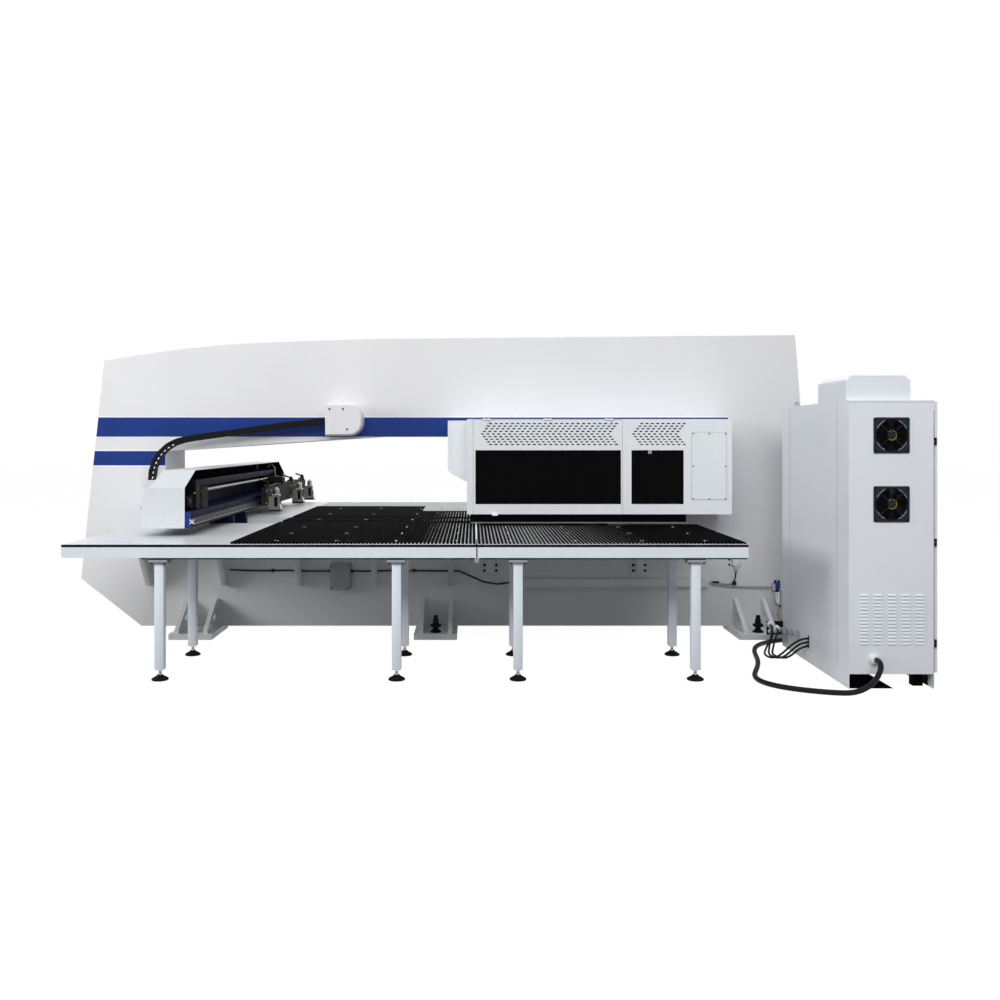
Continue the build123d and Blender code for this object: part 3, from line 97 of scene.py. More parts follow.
# Materials: each has its own colour variation, roughness and bump, in the row frame's metres
class Nodes:
    """A short way to build one material's node tree."""

    def __init__(self, name, gloss=0.5):
        self.material = bpy.data.materials.new(name)
        self.material.use_nodes = True
        self.tree = self.material.node_tree
        self.shader = self.tree.nodes["Principled BSDF"]
        self.shader.inputs["Specular IOR Level"].default_value = gloss
        self.place = self.tree.nodes.new("ShaderNodeTexCoord").outputs["Object"]

    def node(self, kind, **values):
        made = self.tree.nodes.new("ShaderNode" + kind)
        for key, value in values.items():
            made.inputs[key.replace("_", " ")].default_value = value
        return made

    def link(self, source, target):
        self.tree.links.new(source, target)

    def stretched(self, scale):
        mapping = self.node("Mapping", Scale=scale)
        self.link(self.place, mapping.inputs["Vector"])
        return mapping.outputs["Vector"]

    def noise(self, scale, detail, place=None, roughness=0.5):
        made = self.node("TexNoise", Scale=scale, Detail=detail, Roughness=roughness)
        self.link(place or self.place, made.inputs["Vector"])
        return made.outputs["Fac"]

    def colours(self, factor, *stops):
        """The base colour, from one linear colour to another along a factor."""
        made = self.node("ValToRGB")
        for element, (place, colour) in zip(made.color_ramp.elements, stops):
            element.position = place
            element.color = (*colour, 1)
        self.link(factor, made.inputs["Fac"])
        self.link(made.outputs["Color"], self.shader.inputs["Base Color"])

    def clouds(self, factor, colour, darker, lighter):
        """The base colour, from a darker to a lighter shade of one display colour."""
        self.colours(factor, (0.3, linear(colour, 1 - darker)), (0.7, linear(colour, 1 + lighter)))

    def rough(self, factor, low, high):
        made = self.node("MapRange", From_Min=0.3, From_Max=0.7, To_Min=low, To_Max=high)
        self.link(factor, made.inputs["Value"])
        self.link(made.outputs["Result"], self.shader.inputs["Roughness"])

    def bump(self, height, distance):
        made = self.node("Bump", Strength=1.0, Distance=distance)
        self.link(height, made.inputs["Height"])
        self.link(made.outputs["Normal"], self.shader.inputs["Normal"])


def painted(name, colour, rough=(0.34, 0.44), peel=0.00006, cloud=0.03, gloss=0.3):
    """Sprayed paint: clouds of slightly different shade and the fine skin of orange peel."""
    make = Nodes(name, gloss)
    make.clouds(make.noise(1.7, 5), colour, cloud, cloud / 2)
    make.rough(make.noise(14, 3), *rough)
    make.bump(make.noise(420, 2), peel)
    return make.material


def metal(name, colour, rough=(0.25, 0.4), grain=(40, 2, 40), cloud=0.1, shine=1.0):
    """Bare metal with its machining grain along one direction."""
    make = Nodes(name)
    streaks = make.noise(30, 6, make.stretched(grain), 0.65)
    make.clouds(streaks, colour, cloud, cloud / 2)
    make.rough(streaks, *rough)
    make.shader.inputs["Metallic"].default_value = shine
    make.bump(streaks, 0.00004)
    return make.material


def moulded(name, colour, rough=(0.4, 0.55), grain=700, cloud=0.12, gloss=0.3):
    """Moulded plastic or rubber with a fine grain."""
    make = Nodes(name, gloss)
    fine = make.noise(grain, 3)
    make.clouds(make.noise(20, 3), colour, cloud, cloud)
    make.rough(fine, *rough)
    make.bump(fine, 0.00008)
    return make.material


FRAME_PAINT = painted("frame_paint", (230, 230, 233))
GUARD_PAINT = painted("guard_paint", (233, 237, 241), peel=0.00005)
CABINET_PAINT = painted("cabinet_paint", (231, 235, 242), peel=0.00008)
TABLE_PAINT = painted("table_paint", (228, 236, 244))
# Grey for painted shade on the legs' flanges and in the louvres' slits, and for the panels' seams
SHADE_AND_SEAM_GREY = painted("shade_and_seam_grey", (150, 155, 160))
WHITE_PAINT = painted("white_paint", (214, 219, 224))
BLUE_PAINT = painted("blue_paint", (22, 52, 126), cloud=0.08)
BEAM_BLUE = painted("beam_blue", (20, 31, 60), (0.5, 0.62), cloud=0.12, gloss=0.1)
STRIPE_WHITE = painted("stripe_white", (246, 246, 248))
BLACK_PAINT = painted("black_paint", (14, 14, 15), (0.5, 0.62), cloud=0.15, gloss=0.1)
DARK_STEEL = painted("dark_steel", (56, 54, 50), (0.55, 0.7), cloud=0.25, gloss=0.06)
CLAMP_STEEL = painted("clamp_steel", (150, 147, 139), (0.32, 0.46), cloud=0.2)
FAN_PAINT = painted("fan_paint", (36, 39, 50), (0.5, 0.6), cloud=0.06, gloss=0.12)
CAST_PAINT = painted("cast_paint", (90, 92, 96), (0.5, 0.65), peel=0.0003, cloud=0.12)
GROUND_STEEL = metal("ground_steel", (196, 198, 202))
TABLE_STEEL = metal("table_steel", (230, 235, 239), (0.3, 0.42), (3, 40, 3), 0.06, shine=0.3)
WORN_STEEL = metal("worn_steel", (150, 156, 154), (0.22, 0.45), (0.8, 0.4, 1), 0.2)
RAIL_STEEL = metal("rail_steel", (76, 73, 69), (0.3, 0.45), cloud=0.3)
SCREW_STEEL = metal("screw_steel", (128, 128, 130), (0.18, 0.3), (4, 160, 4), 0.3)
CHROME = metal("chrome", (226, 227, 230), (0.06, 0.12), (10, 1, 10), 0.03)
TURRET_STEEL = metal("turret_steel", (70, 72, 76), grain=(8, 8, 60))
ZINC = metal("zinc", (204, 203, 198), (0.32, 0.45), grain=(6, 6, 6))
BLACK_PLASTIC = moulded("black_plastic", (14, 14, 15), gloss=0.15)
BLACK_RUBBER = moulded("black_rubber", (16, 16, 17), (0.55, 0.7), grain=500, gloss=0.12)
CABLE_RUBBER = moulded("cable_rubber", (22, 23, 25), (0.38, 0.5), grain=260, gloss=0.15)
BLUE_PLASTIC = moulded("blue_plastic", (30, 70, 170), (0.22, 0.32))
WHITE_PLASTIC = moulded("white_plastic", (228, 229, 232), (0.3, 0.42), cloud=0.03)
GREY_PLASTIC = moulded("grey_plastic", (158, 162, 166), (0.35, 0.5), cloud=0.05)
RED_PLASTIC = moulded("red_plastic", (176, 36, 34), (0.3, 0.4))
YELLOW_PLASTIC = moulded("yellow_plastic", (176, 160, 40), (0.3, 0.4))
AMBER_PLASTIC = moulded("amber_plastic", (226, 158, 30), (0.3, 0.4))
AMBER_HOSE = moulded("amber_hose", (196, 178, 132), (0.3, 0.4))
DEEP_SHADE = moulded("deep_shade", (7, 7, 8), (0.8, 0.9), gloss=0.05)

# Smoked pane: black below a hard gloss
pane = Nodes("dark_pane", 0.025)
pane.shader.inputs["Base Color"].default_value = (0.0022, 0.0022, 0.0024, 1)
pane.rough(pane.noise(3, 2), 0.08, 0.14)

# Black nylon bristle, with its tufts along the strip
bristle = Nodes("brush_bristle", 0.02)
fibres = bristle.noise(160, 5, bristle.stretched((6, 6, 0.6)), 0.7)
bristle.colours(fibres, (0.35, linear((2, 2, 2))), (0.7, linear((11, 11, 12))))
bristle.shader.inputs["Roughness"].default_value = 0.8
bristle.bump(fibres, 0.0012)


def spread(axis, along, first, second):
    """X, Y and Z of a place given by its measure along an axis and the two across it."""
    if axis == "X":
        return along, first, second
    if axis == "Y":
        return first, along, second
    return first, second, along


def turns(count):
    """The angles of so many equal steps round a circle."""
    return [2 * math.pi * i / count for i in range(count)]


class Shape:
    """One piece in the making: solids in machine millimetres, gathered into one mesh."""

    begun = []

    def __init__(self, name, material, slot=None, body="frame", replaces=(), smooth=35):
        self.name, self.material = name, material
        self.slot = slot or material.name.split(".")[0]
        self.body, self.replaces, self.smooth = body, replaces, smooth
        self.mesh = bmesh.new()
        Shape.begun.append(self)

    def corner(self, x, y, z):
        return self.mesh.verts.new(at(x, y, z))

    def bevelled(self, faces, bevel, segments):
        if bevel:
            rims = list({edge for face in faces for edge in face.edges})
            bmesh.ops.bevel(
                self.mesh, geom=rims, offset=bevel * MM, segments=segments, affect="EDGES", profile=0.5
            )

    def box(self, xs, ys, zs, bevel=0.0, segments=1):
        corners = [self.corner(x, y, z) for x in xs for y in ys for z in zs]
        sides = ((0, 1, 3, 2), (4, 6, 7, 5), (0, 4, 5, 1), (2, 3, 7, 6), (0, 2, 6, 4), (1, 5, 7, 3))
        faces = [self.mesh.faces.new([corners[i] for i in side]) for side in sides]
        self.bevelled(faces, bevel, segments)

    def prism(self, axis, outline, low, high, bevel=0.0, segments=1):
        """An outline across one axis, drawn from low to high along it."""
        near = [self.corner(*spread(axis, low, *pair)) for pair in outline]
        far = [self.corner(*spread(axis, high, *pair)) for pair in outline]
        count = len(outline)
        faces = [self.mesh.faces.new(near), self.mesh.faces.new(list(reversed(far)))]
        for i in range(count):
            j = (i + 1) % count
            faces.append(self.mesh.faces.new((near[j], near[i], far[i], far[j])))
        self.bevelled(faces, bevel, segments)

    def turned(self, axis, centre, profile, segments=24):
        """A profile of (radius, along) pairs turned about an axis through the centre."""
        rings = []
        for radius, along in profile:
            ring = []
            for angle in turns(segments) if radius else (0,):
                step = spread(axis, along, radius * math.cos(angle), radius * math.sin(angle))
                ring.append(self.corner(*(start + move for start, move in zip(centre, step))))
            rings.append(ring)
        for ring, after in zip(rings, rings[1:]):
            for i in range(segments):
                j = (i + 1) % segments
                low = [ring[i % len(ring)], ring[j % len(ring)]]
                high = [after[j % len(after)], after[i % len(after)]]
                corners = list(dict.fromkeys(low + high))
                if len(corners) > 2:
                    self.mesh.faces.new(corners)
        for ring in (rings[0], rings[-1]):
            if len(ring) > 1:
                self.mesh.faces.new(ring)

    def rod(self, axis, centre, radius, length, segments=20, bevel=0.0):
        """A round bar from the centre along the axis, with its edges broken."""
        profile = [(radius, bevel), (radius, length - bevel)]
        if bevel:
            profile = [(radius - bevel, 0)] + profile + [(radius - bevel, length)]
        self.turned(axis, centre, profile, segments)

    def sleeve(self, loops):
        """Faces between each loop and the next."""
        for loop, after in zip(loops, loops[1:]):
            for j in range(len(loop)):
                k = (j + 1) % len(loop)
                self.mesh.faces.new((loop[j], loop[k], after[k], after[j]))

    def ring(self, axis, centre, radius, thick, segments=40, sides=8):
        """A round ring about an axis."""
        x, y, z = centre
        loops = []
        for angle in turns(segments):
            loop = []
            for turn in turns(sides):
                out, along = radius + thick * math.cos(turn), thick * math.sin(turn)
                right, back, up = spread(axis, along, out * math.cos(angle), out * math.sin(angle))
                loop.append(self.corner(x + right, y + back, z + up))
            loops.append(loop)
        self.sleeve(loops + loops[:1])

    def tube(self, points, radius, sides=10):
        """A round tube along a list of machine points."""
        path = [at(*point) for point in points]
        loops = []
        for i, point in enumerate(path):
            along = (path[min(i + 1, len(path) - 1)] - path[max(i - 1, 0)]).normalized()
            side = along.cross(Vector((0, 0, 1)))
            if side.length < 0.1:
                side = along.cross(Vector((0, 1, 0)))
            side.normalize()
            over = side.cross(along)
            rim = [(side * math.cos(turn) + over * math.sin(turn)) * radius * MM for turn in turns(sides)]
            loops.append([self.mesh.verts.new(point + out) for out in rim])
        self.sleeve(loops)
        self.mesh.faces.new(loops[0])
        self.mesh.faces.new(loops[-1])

    def quad(self, *points):
        self.mesh.faces.new([self.corner(*point) for point in points])

    def bolts(self, axis, places, radius, height, side=-1):
        """Button-head screws standing on a face, with a sunk socket."""
        top, socket = side * height, side * height * 0.5
        profile = (
            (radius, 0), (radius, socket), (radius * 0.8, top),
            (radius * 0.45, top), (radius * 0.4, socket), (0, socket),
        )
        for place in places:
            self.turned(axis, place, profile, 12)

    def finish(self):
        """The finished piece, riding on its body."""
        bmesh.ops.recalc_face_normals(self.mesh, faces=self.mesh.faces)
        data = bpy.data.meshes.new(self.name)
        self.mesh.to_mesh(data)
        self.mesh.free()
        data.materials.append(self.material)
        for polygon in data.polygons:
            polygon.use_smooth = True
        data.set_sharp_from_angle(angle=math.radians(self.smooth))
        made = in_scene(self.name, data)
        if self.body:
            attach(made, self.body)
        if self.replaces:
            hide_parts(*self.replaces)
        return made


on_beam, on_carriage = partial(Shape, body="crossbeam"), partial(Shape, body="carriage")


def edges(name):
    """A node's box in machine millimetres, as (low, high) along X, Y and Z."""
    low, high = (Vector(corner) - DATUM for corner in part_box(name))
    return [(low[i] / MM, high[i] / MM) for i in range(3)]


def dress(material, names):
    """Gives carried-over CAD nodes their material."""
    for name in names.split():
        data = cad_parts[name].data
        data.materials.clear()
        data.materials.append(material)


# Cords: the part's own route points are the control points of smooth splines
def cord(node, ending, radius, length, *points):
    """One free cable as a smooth spline of its route's points."""
    name = node + ending
    data = bpy.data.curves.new(name, "CURVE")
    data.dimensions = "3D"
    data.bevel_depth = radius * MM
    data.bevel_resolution = 5
    data.resolution_u = 12
    data.use_fill_caps = True
    spline = data.splines.new("NURBS")
    spline.points.add(len(points) - 1)
    for control, point in zip(spline.points, points):
        control.co = (*at(*point), 1)
    spline.order_u = 3
    spline.use_endpoint_u = True
    data.materials.append(CABLE_RUBBER)
    made = in_scene(name, data)
    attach(made, "frame")
    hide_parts(node)


cord(
    "main_cable", "_hose", 17, 3.06,
    (2521, -2336, 188), (2521, -2394, 188), (2506, -2444, 158), (2468, -2474, 102),
    (2404, -2492, 50), (2318, -2494, 20), (2212, -2474, 17.5), (2096, -2430, 17.5),
    (1976, -2360, 17.5), (1876, -2256, 17.5), (1832, -2124, 17.5), (1850, -1980, 17.5),
    (1906, -1824, 17.5), (1962, -1662, 17.5), (2004, -1500, 17.5), (2032, -1340, 17.5),
    (2062, -1186, 17.5), (2110, -1040, 17.5), (2190, -908, 17.5), (2306, -808, 17.5),
    (2430, -748, 17.5), (2518, -660, 20), (2554, -562, 46), (2564, -472, 104),
    (2560, -396, 150), (2560, -330, 150),
)
cord(
    "side_cable_left", "_lead", 7.5, 0.86,
    (2372, -1510, 171), (2314, -1510, 166), (2266, -1502, 140), (2224, -1484, 98),
    (2184, -1460, 50), (2148, -1424, 16), (2122, -1368, 8), (2116, -1300, 8),
    (2126, -1232, 8), (2146, -1168, 10), (2174, -1108, 26), (2212, -1056, 62),
    (2246, -1016, 94), (2262, -974, 112), (2262, -930, 112),
)
cord(
    "side_cable_middle", "_lead", 7.5, 0.81,
    (2372, -1501, 143), (2318, -1497, 136), (2276, -1484, 106), (2240, -1463, 62),
    (2205, -1437, 24), (2172, -1398, 9), (2152, -1342, 8), (2150, -1276, 8),
    (2162, -1212, 10), (2182, -1154, 34), (2206, -1102, 78), (2232, -1052, 126),
    (2242, -1018, 146), (2256, -976, 162), (2256, -930, 162),
)
cord(
    "side_cable_right", "_lead", 7.5, 0.75,
    (2372, -1492, 116), (2322, -1484, 104), (2284, -1466, 70), (2252, -1442, 32),
    (2222, -1412, 11), (2196, -1370, 8), (2180, -1318, 8), (2180, -1258, 8),
    (2192, -1198, 11), (2214, -1142, 30), (2240, -1088, 66), (2270, -1034, 104),
    (2298, -984, 128), (2304, -950, 130), (2304, -930, 130),
)

# Carried-over CAD nodes. The others are those that pieces of this scene stand for.
dress(FRAME_PAINT, "frame_weldment foot_brackets chain_box table_brackets under_rail")
dress(GUARD_PAINT, "access_panel ram_side_cover rear_guard")
dress(CABINET_PAINT, "cabinet_shell cabinet_door_front cabinet_door_rear top_box")
dress(TABLE_PAINT, "table_frames throat_table_frame")
dress(TABLE_STEEL, "table_plates")
dress(WHITE_PAINT, "crossbeam_cover chain_bracket")
dress(BEAM_BLUE, "crossbeam_girder beam_saddle")
dress(BLACK_PAINT, "cabinet_hinges beam_drive")
dress(BLACK_PLASTIC, "edge_strips")
dress(DEEP_SHADE, "fan_impeller_upper fan_impeller_lower")
dress(FAN_PAINT, "fan_frames")
dress(pane.material, "door_window side_window")
dress(CAST_PAINT, "turret_bearings ram_housing")
dress(GROUND_STEEL, "throat_rails beam_screw clamp_jaws")
dress(RAIL_STEEL, "carriage_guides")
dress(SCREW_STEEL, "carriage_screw")
dress(CHROME, "ram")
dress(TURRET_STEEL, "upper_turret lower_turret")
dress(DARK_STEEL, "carriage_bar clamp_bodies")
dress(ZINC, "mounting_panel")
dress(GREY_PLASTIC, "junction_box")

# Painted stripes, on both faces of the frame, with thin white borders
frame_half = 290
frame_nose, frame_knee = (-3020, 2215), (-3210, 432)
stripe_thick, border_height = 0.8, 9
upper_stripe, lower_stripe = (1594, 1751, 2088), (1358, 1476, -2520)


def frame_left_edge(z):
    """The frame's slanted left edge at this height."""
    slant = (frame_knee[0] - frame_nose[0]) / (frame_nose[1] - frame_knee[1])
    return frame_nose[0] + slant * (frame_nose[1] - z)


def stripe(shape, low, high, right, side):
    faces = sorted((side * frame_half, side * (frame_half + stripe_thick)))
    outline = (
        (frame_left_edge(low) + 1, low), (right, low), (right, high), (frame_left_edge(high) + 1, high),
    )
    shape.prism("Y", outline, *faces)


blue_stripes = Shape("painted_stripes", BLUE_PAINT)
white_borders = Shape("stripe_borders", STRIPE_WHITE, "white_paint")
for side in (-1, 1):
    for low, high, right in (upper_stripe, lower_stripe):
        stripe(blue_stripes, low, high, right, side)
        stripe(white_borders, high, high + border_height, right, side)
    stripe(white_borders, lower_stripe[0] - border_height, lower_stripe[0], lower_stripe[2], side)

# Brush fields: rows of leaning bristle ridges on white bases, with the screws between them
table_left, brush_left, seam_left, seam_right, table_right = -2664, -1580, 21, 29, 1782
table_front, table_rear = -2088, 2700
ridge_pitch, ridge_width, ridge_lean = 25, 11, 7.5
base_thick, brush_gap = 3, 4
brush_low, brush_top = edges("brushes")[2]
field_spans = (
    ((brush_left, seam_left), (table_front, -300)),
    ((seam_right, table_right), (table_front, -560)),
    ((brush_left, seam_left), (-190, 190)),
    ((brush_left, -480), (300, 1807)),
    ((-480, seam_left), (300, 1060)),
    ((seam_right, table_right), (560, 1807)),
)
ridges = Shape("brush_ridges", bristle.material, replaces=("brushes",), smooth=20)
bases = Shape("brush_bases", WHITE_PLASTIC, "white_paint")
for (left, right), (near, far) in field_spans:
    front = near if near == table_front else near + brush_gap
    base_top = brush_low + base_thick
    bases.box((left, right), (front, far - brush_gap), (brush_low, base_top))
    for number in range(int((right - left - 2 * ridge_width) / ridge_pitch) + 1):
        foot = left + ridge_width + number * ridge_pitch
        tip = foot - ridge_lean
        outline = (
            (foot, base_top), (foot + ridge_width, base_top),
            (tip + ridge_width, brush_top), (tip, brush_top),
        )
        ridges.prism("Y", outline, near + brush_gap, far - brush_gap)
screw_rows = (-1947, -1382, -823, -49, 655, 1389)
screw_columns = (-1298, -899, -505, -102, 251, 673, 1117, 1538)
screw_seat = brush_top - 6
field_screws = Shape("brush_screws", WHITE_PLASTIC, "zinc")
for row in screw_rows:
    for column in screw_columns:
        if any(x[0] < column < x[1] and y[0] < row < y[1] for x, y in field_spans):
            field_screws.bolts("Z", [(column, row, screw_seat)], 13, 6, 1)
            field_screws.rod("Z", (column, row, brush_low), 7, screw_seat - brush_low, 10)
slot_edging = Shape("slot_edging", BLACK_RUBBER, "black_plastic")
for far in (-190, 300):
    slot_edging.box((brush_left, seam_left), (far - 1, far), (872, brush_top - 4))

# Plain steel sheets of the tables, with their joints, and the worn plates at the rear
sheet_joint, rear_joint, sheet_thick = 1.5, 5, 1.2
plate_top = edges("table_plates")[2][1]
sheet_zs = (plate_top, plate_top + sheet_thick)
sheets = Shape("table_sheets", TABLE_STEEL)
for (near, far), count in (((table_front, -300), 3), ((300, table_rear), 4)):
    depth = (far - near) / count
    for j in range(count):
        ys = (near + j * depth, near + (j + 1) * depth - sheet_joint)
        sheets.box((table_left, brush_left - sheet_joint), ys, sheet_zs)
rear_sheets = Shape("rear_sheets", WORN_STEEL, "table_steel")
for left, right in ((brush_left, seam_left), (seam_right, table_right)):
    width = (right - left) / 5
    for i in range(5):
        for ys in ((1810, 2240), (2245, table_rear)):
            rear_sheets.box((left + i * width, left + (i + 1) * width - rear_joint), ys, sheet_zs)
worn_plates = Shape("rear_cover_plates", WORN_STEEL, "table_steel")
for xs in ((-480, -312), (-310, -146), (-144, seam_left)):
    for ys in ((1062, 1430), (1432, 1806)):
        worn_plates.box(xs, ys, (brush_low, brush_top - 3), 1)

# Legs: rounded tubes, flanges in a grey that paints the shade under the table, with a dark pad and bolts,
# threaded studs and rubber feet
leg_high = edges("table_legs")[2][1]
leg_half, flange_half, pad_half, bolt_reach = 30, 60, 57, 46
tube_foot, flange_low, pad_low = 70, 770, leg_high - 12
foot_profile = ((0, 0), (51, 0), (55, 3), (55, 10), (49, 15), (24, 29), (17, 37), (0, 37))
thread = [(10 if step % 2 else 8.8, 38 + step * 2) for step in range(16)]
legs = Shape("table_leg_tubes", TABLE_PAINT, replaces=("table_legs",))
flanges = Shape("leg_flanges", SHADE_AND_SEAM_GREY, "table_paint")
pads = Shape("leg_pads", BLACK_RUBBER, "black_plastic")
leg_bolts = Shape("leg_bolts", DARK_STEEL)
studs = Shape("leg_studs", ZINC)
rubbers = Shape("leg_rubbers", BLACK_RUBBER, "black_plastic", replaces=("leg_feet",))
for x in (-2038, -497, 293, 1448):
    for y in (-2050, -1250, 1250, 2650):
        legs.box(about(x, leg_half), about(y, leg_half), (tube_foot, flange_low), 3.5, 2)
        flanges.box(about(x, flange_half), about(y, flange_half), (flange_low, pad_low), 2)
        pads.box(about(x, pad_half), about(y, pad_half), (pad_low, leg_high))
        corners = [(x + i * bolt_reach, y + j * bolt_reach, flange_low) for i in (-1, 1) for j in (-1, 1)]
        leg_bolts.bolts("Z", corners, 9, 10)
        studs.turned("Z", (x, y, 0), [(0, 38)] + thread + [(0, 70)], 16)
        studs.rod("Z", (x, y, 60), 16, 9, 6)
        studs.rod("Z", (x, y, 36), 15, 7, 6)
        rubbers.turned("Z", (x, y, 0), foot_profile, 32)

# Under the front tables: a black strip as painted shadow under the rail's return, the dark joint of the two
# rails, and the sloped flanges of the brackets
rail_shadow_and_joint = Shape("rail_shadow_and_joint", BLACK_PAINT, "black_steel")
rail_shadow_and_joint.box((-2150, 1776), (-2096, -2030), (791, 800))
rail_shadow_and_joint.box((21.3, 28.7), (-2099, -2089), (801, 898))
bracket_first, bracket_pitch, bracket_half = -2640, 615, 24
bracket_flanges = Shape("bracket_flanges", FRAME_PAINT)
for number in range(5):
    x = bracket_first + number * bracket_pitch
    for side in (-1, 1):
        slope = ((side * 620, 741), (side * 350, 380), (side * 342, 380), (side * 612, 741))
        bracket_flanges.prism("X", slope, *about(x, bracket_half), 1)

# Levelling jacks: turned and threaded, on each foot plate between its gussets
jack_profile = (
    (0, 0), (44, 0), (44, 7), (30, 16), (21, 32), (22, 38), (42, 48), (42, 62), (24, 72),
    (22, 84), (25, 86), (25, 92), (22, 94), (22, 104), (17, 106), (17, 128), (14, 134), (0, 134),
)
jacks = Shape("jack_bodies", BLACK_PAINT, "black_steel", replaces=("levelling_jacks",))
for x in (-2216, -295, 2257):
    for y in (-575, 575):
        jacks.turned("Z", (x, y, 45), jack_profile, 32)

# Cable chain: side plates, cross bars and the leads inside, from its box to the crossbeam
chain_points = (
    (-1183, 1718), (-1500, 1685), (-1878, 1633), (-2199, 1590), (-2350, 1562),
    (-2452, 1516), (-2530, 1438), (-2574, 1345), (-2590, 1244),
)
chain_near, chain_far, chain_middle = -455, -375, -415
chain_half, link_pitch, link_wall, link_bar = 25, 42, 8, 2.5
flat_heading = -0.93


def smooth_line(points, steps=40):
    """Many points of a curve through the given ones."""
    line = []
    for i in range(len(points) - 1):
        before, after = Vector(points[max(i - 1, 0)]), Vector(points[min(i + 2, len(points) - 1)])
        start, end = Vector(points[i]), Vector(points[i + 1])
        bend = 2 * before - 5 * start + 4 * end - after
        twist = 3 * start - before - 3 * end + after
        for step in range(steps):
            t = step / steps
            line.append(0.5 * (2 * start + (end - before) * t + bend * t * t + twist * t**3))
    return line + [Vector(points[-1])]


def link_places(points, pitch):
    """Middles and headings of links laid end to end along the curve."""
    line = smooth_line(points)
    spans = [(b - a).length for a, b in zip(line, line[1:])]
    count = round(sum(spans) / pitch)
    pitch = sum(spans) / count
    places = []
    for number in range(count):
        wanted, i = (number + 0.5) * pitch, 0
        while i < len(spans) - 1 and wanted > spans[i]:
            wanted -= spans[i]
            i += 1
        heading = (line[i + 1] - line[i]).normalized()
        places.append((line[i] + heading * wanted, heading))
    return places


def link_outline(link, up, half_along, half_up):
    """The outline of a small bar in a link's own plane."""
    middle, heading = link
    across = Vector((-heading.y, heading.x))
    corners = ((-1, -1), (1, -1), (1, 1), (-1, 1))
    return [tuple(middle + heading * i * half_along + across * (up + j * half_up)) for i, j in corners]


chain = Shape("chain_links", BLACK_PLASTIC, body=None, replaces=("cable_chain",))
chain_marks = Shape("chain_marks", WHITE_PLASTIC, "black_plastic", body=None)
chain_leads = Shape("chain_leads", CABLE_RUBBER, "black_plastic", body=None)
links = link_places(chain_points, link_pitch)
for number, link in enumerate(links):
    inset = 2.5 if number % 2 else 0
    plate = link_outline(link, 0, link_pitch / 2 + 4, chain_half - inset)
    chain.prism("Y", plate, chain_near + inset, chain_near + link_wall, 1.5)
    chain.prism("Y", plate, chain_far - link_wall, chain_far - inset, 1.5)
    for up in (link_bar - chain_half, chain_half - link_bar):
        rung = link_outline(link, up, link_pitch / 2 - 5, link_bar)
        chain.prism("Y", rung, chain_near + link_wall, chain_far - link_wall)
    if link[1].x > flat_heading:
        mark = link_outline(link, 14, 9, 4)
        chain_marks.prism("Y", mark, chain_near - 1.2, chain_near + inset)
for offset, radius in ((-9, 8), (8, 9)):
    for depth in (-435, -414, -394):
        spots = [middle + Vector((-heading.y, heading.x)) * offset for middle, heading in links]
        chain_leads.tube([(spot.x, depth, spot.y) for spot in spots], radius, 8)
lid_places = [(-1147, -500, 1814), (-1039, -500, 1814), (-1007, -500, 1651.5)]
Shape("chain_box_screws", DARK_STEEL).bolts("Y", lid_places, 8, 5)

# Guard: sheets with slotted fields, one on the door and one beside it
slot_half_width, slot_half_height, slot_corner, slot_flat = 12, 5, 9.5, 2
slot_rows, row_pitch, row_shift, row_top = 9, 20.4, 16, 1694
sheet = 4
front_sheet = (-700, -696)


def slotted(shape, xs, first, pitch, count):
    """A field of staggered slots between two places, open right through the front sheet."""
    for row in range(slot_rows):
        middle = row_top - row * row_pitch
        zs = about(middle, row_pitch / 2)
        start = first - row_shift * (4 - abs(4 - row)) - pitch / 2 + slot_half_width
        shape.box((xs[0], start), front_sheet, zs)
        shape.box((start + count * pitch, xs[1]), front_sheet, zs)
        for number in range(count):
            x = start + (number + 0.5) * pitch
            slot, rim = [], []
            for right, up in ((-1, -1), (1, -1), (1, 1), (-1, 1)):
                tip = (x + right * slot_half_width, middle + up * slot_flat)
                shoulder = (x + right * slot_corner, middle + up * slot_half_height)
                edge = (x + right * pitch / 2, middle + up * slot_flat)
                corner = (x + right * pitch / 2, middle + up * row_pitch / 2)
                slot += [tip, shoulder] if right * up > 0 else [shoulder, tip]
                rim += [edge, corner] if right * up > 0 else [corner, edge]
            for i in range(8):
                j = (i + 1) % 8
                for y in front_sheet:
                    shape.quad(*[(a, y, b) for a, b in (slot[i], slot[j], rim[j], rim[i])])
                near, far = ([(a, y, b) for a, b in (slot[i], slot[j])] for y in front_sheet)
                shape.quad(near[0], near[1], far[1], far[0])
    top = row_top + row_pitch / 2
    return top - slot_rows * row_pitch, top


def windowed(shape, xs, zs, field_xs, window_xs, window_zs, field):
    """A front sheet with its window and its slotted field above."""
    (left, right), (low, high) = xs, zs
    field_low, field_high = slotted(shape, field_xs, *field)
    shape.box((left, field_xs[0]), front_sheet, zs)
    shape.box((field_xs[1], right), front_sheet, zs)
    shape.box(field_xs, front_sheet, (low, window_zs[0]))
    for beside in ((field_xs[0], window_xs[0]), (window_xs[1], field_xs[1])):
        if beside[1] > beside[0]:
            shape.box(beside, front_sheet, window_zs)
    shape.box(field_xs, front_sheet, (window_zs[1], field_low))
    shape.box(field_xs, front_sheet, (field_high, high))


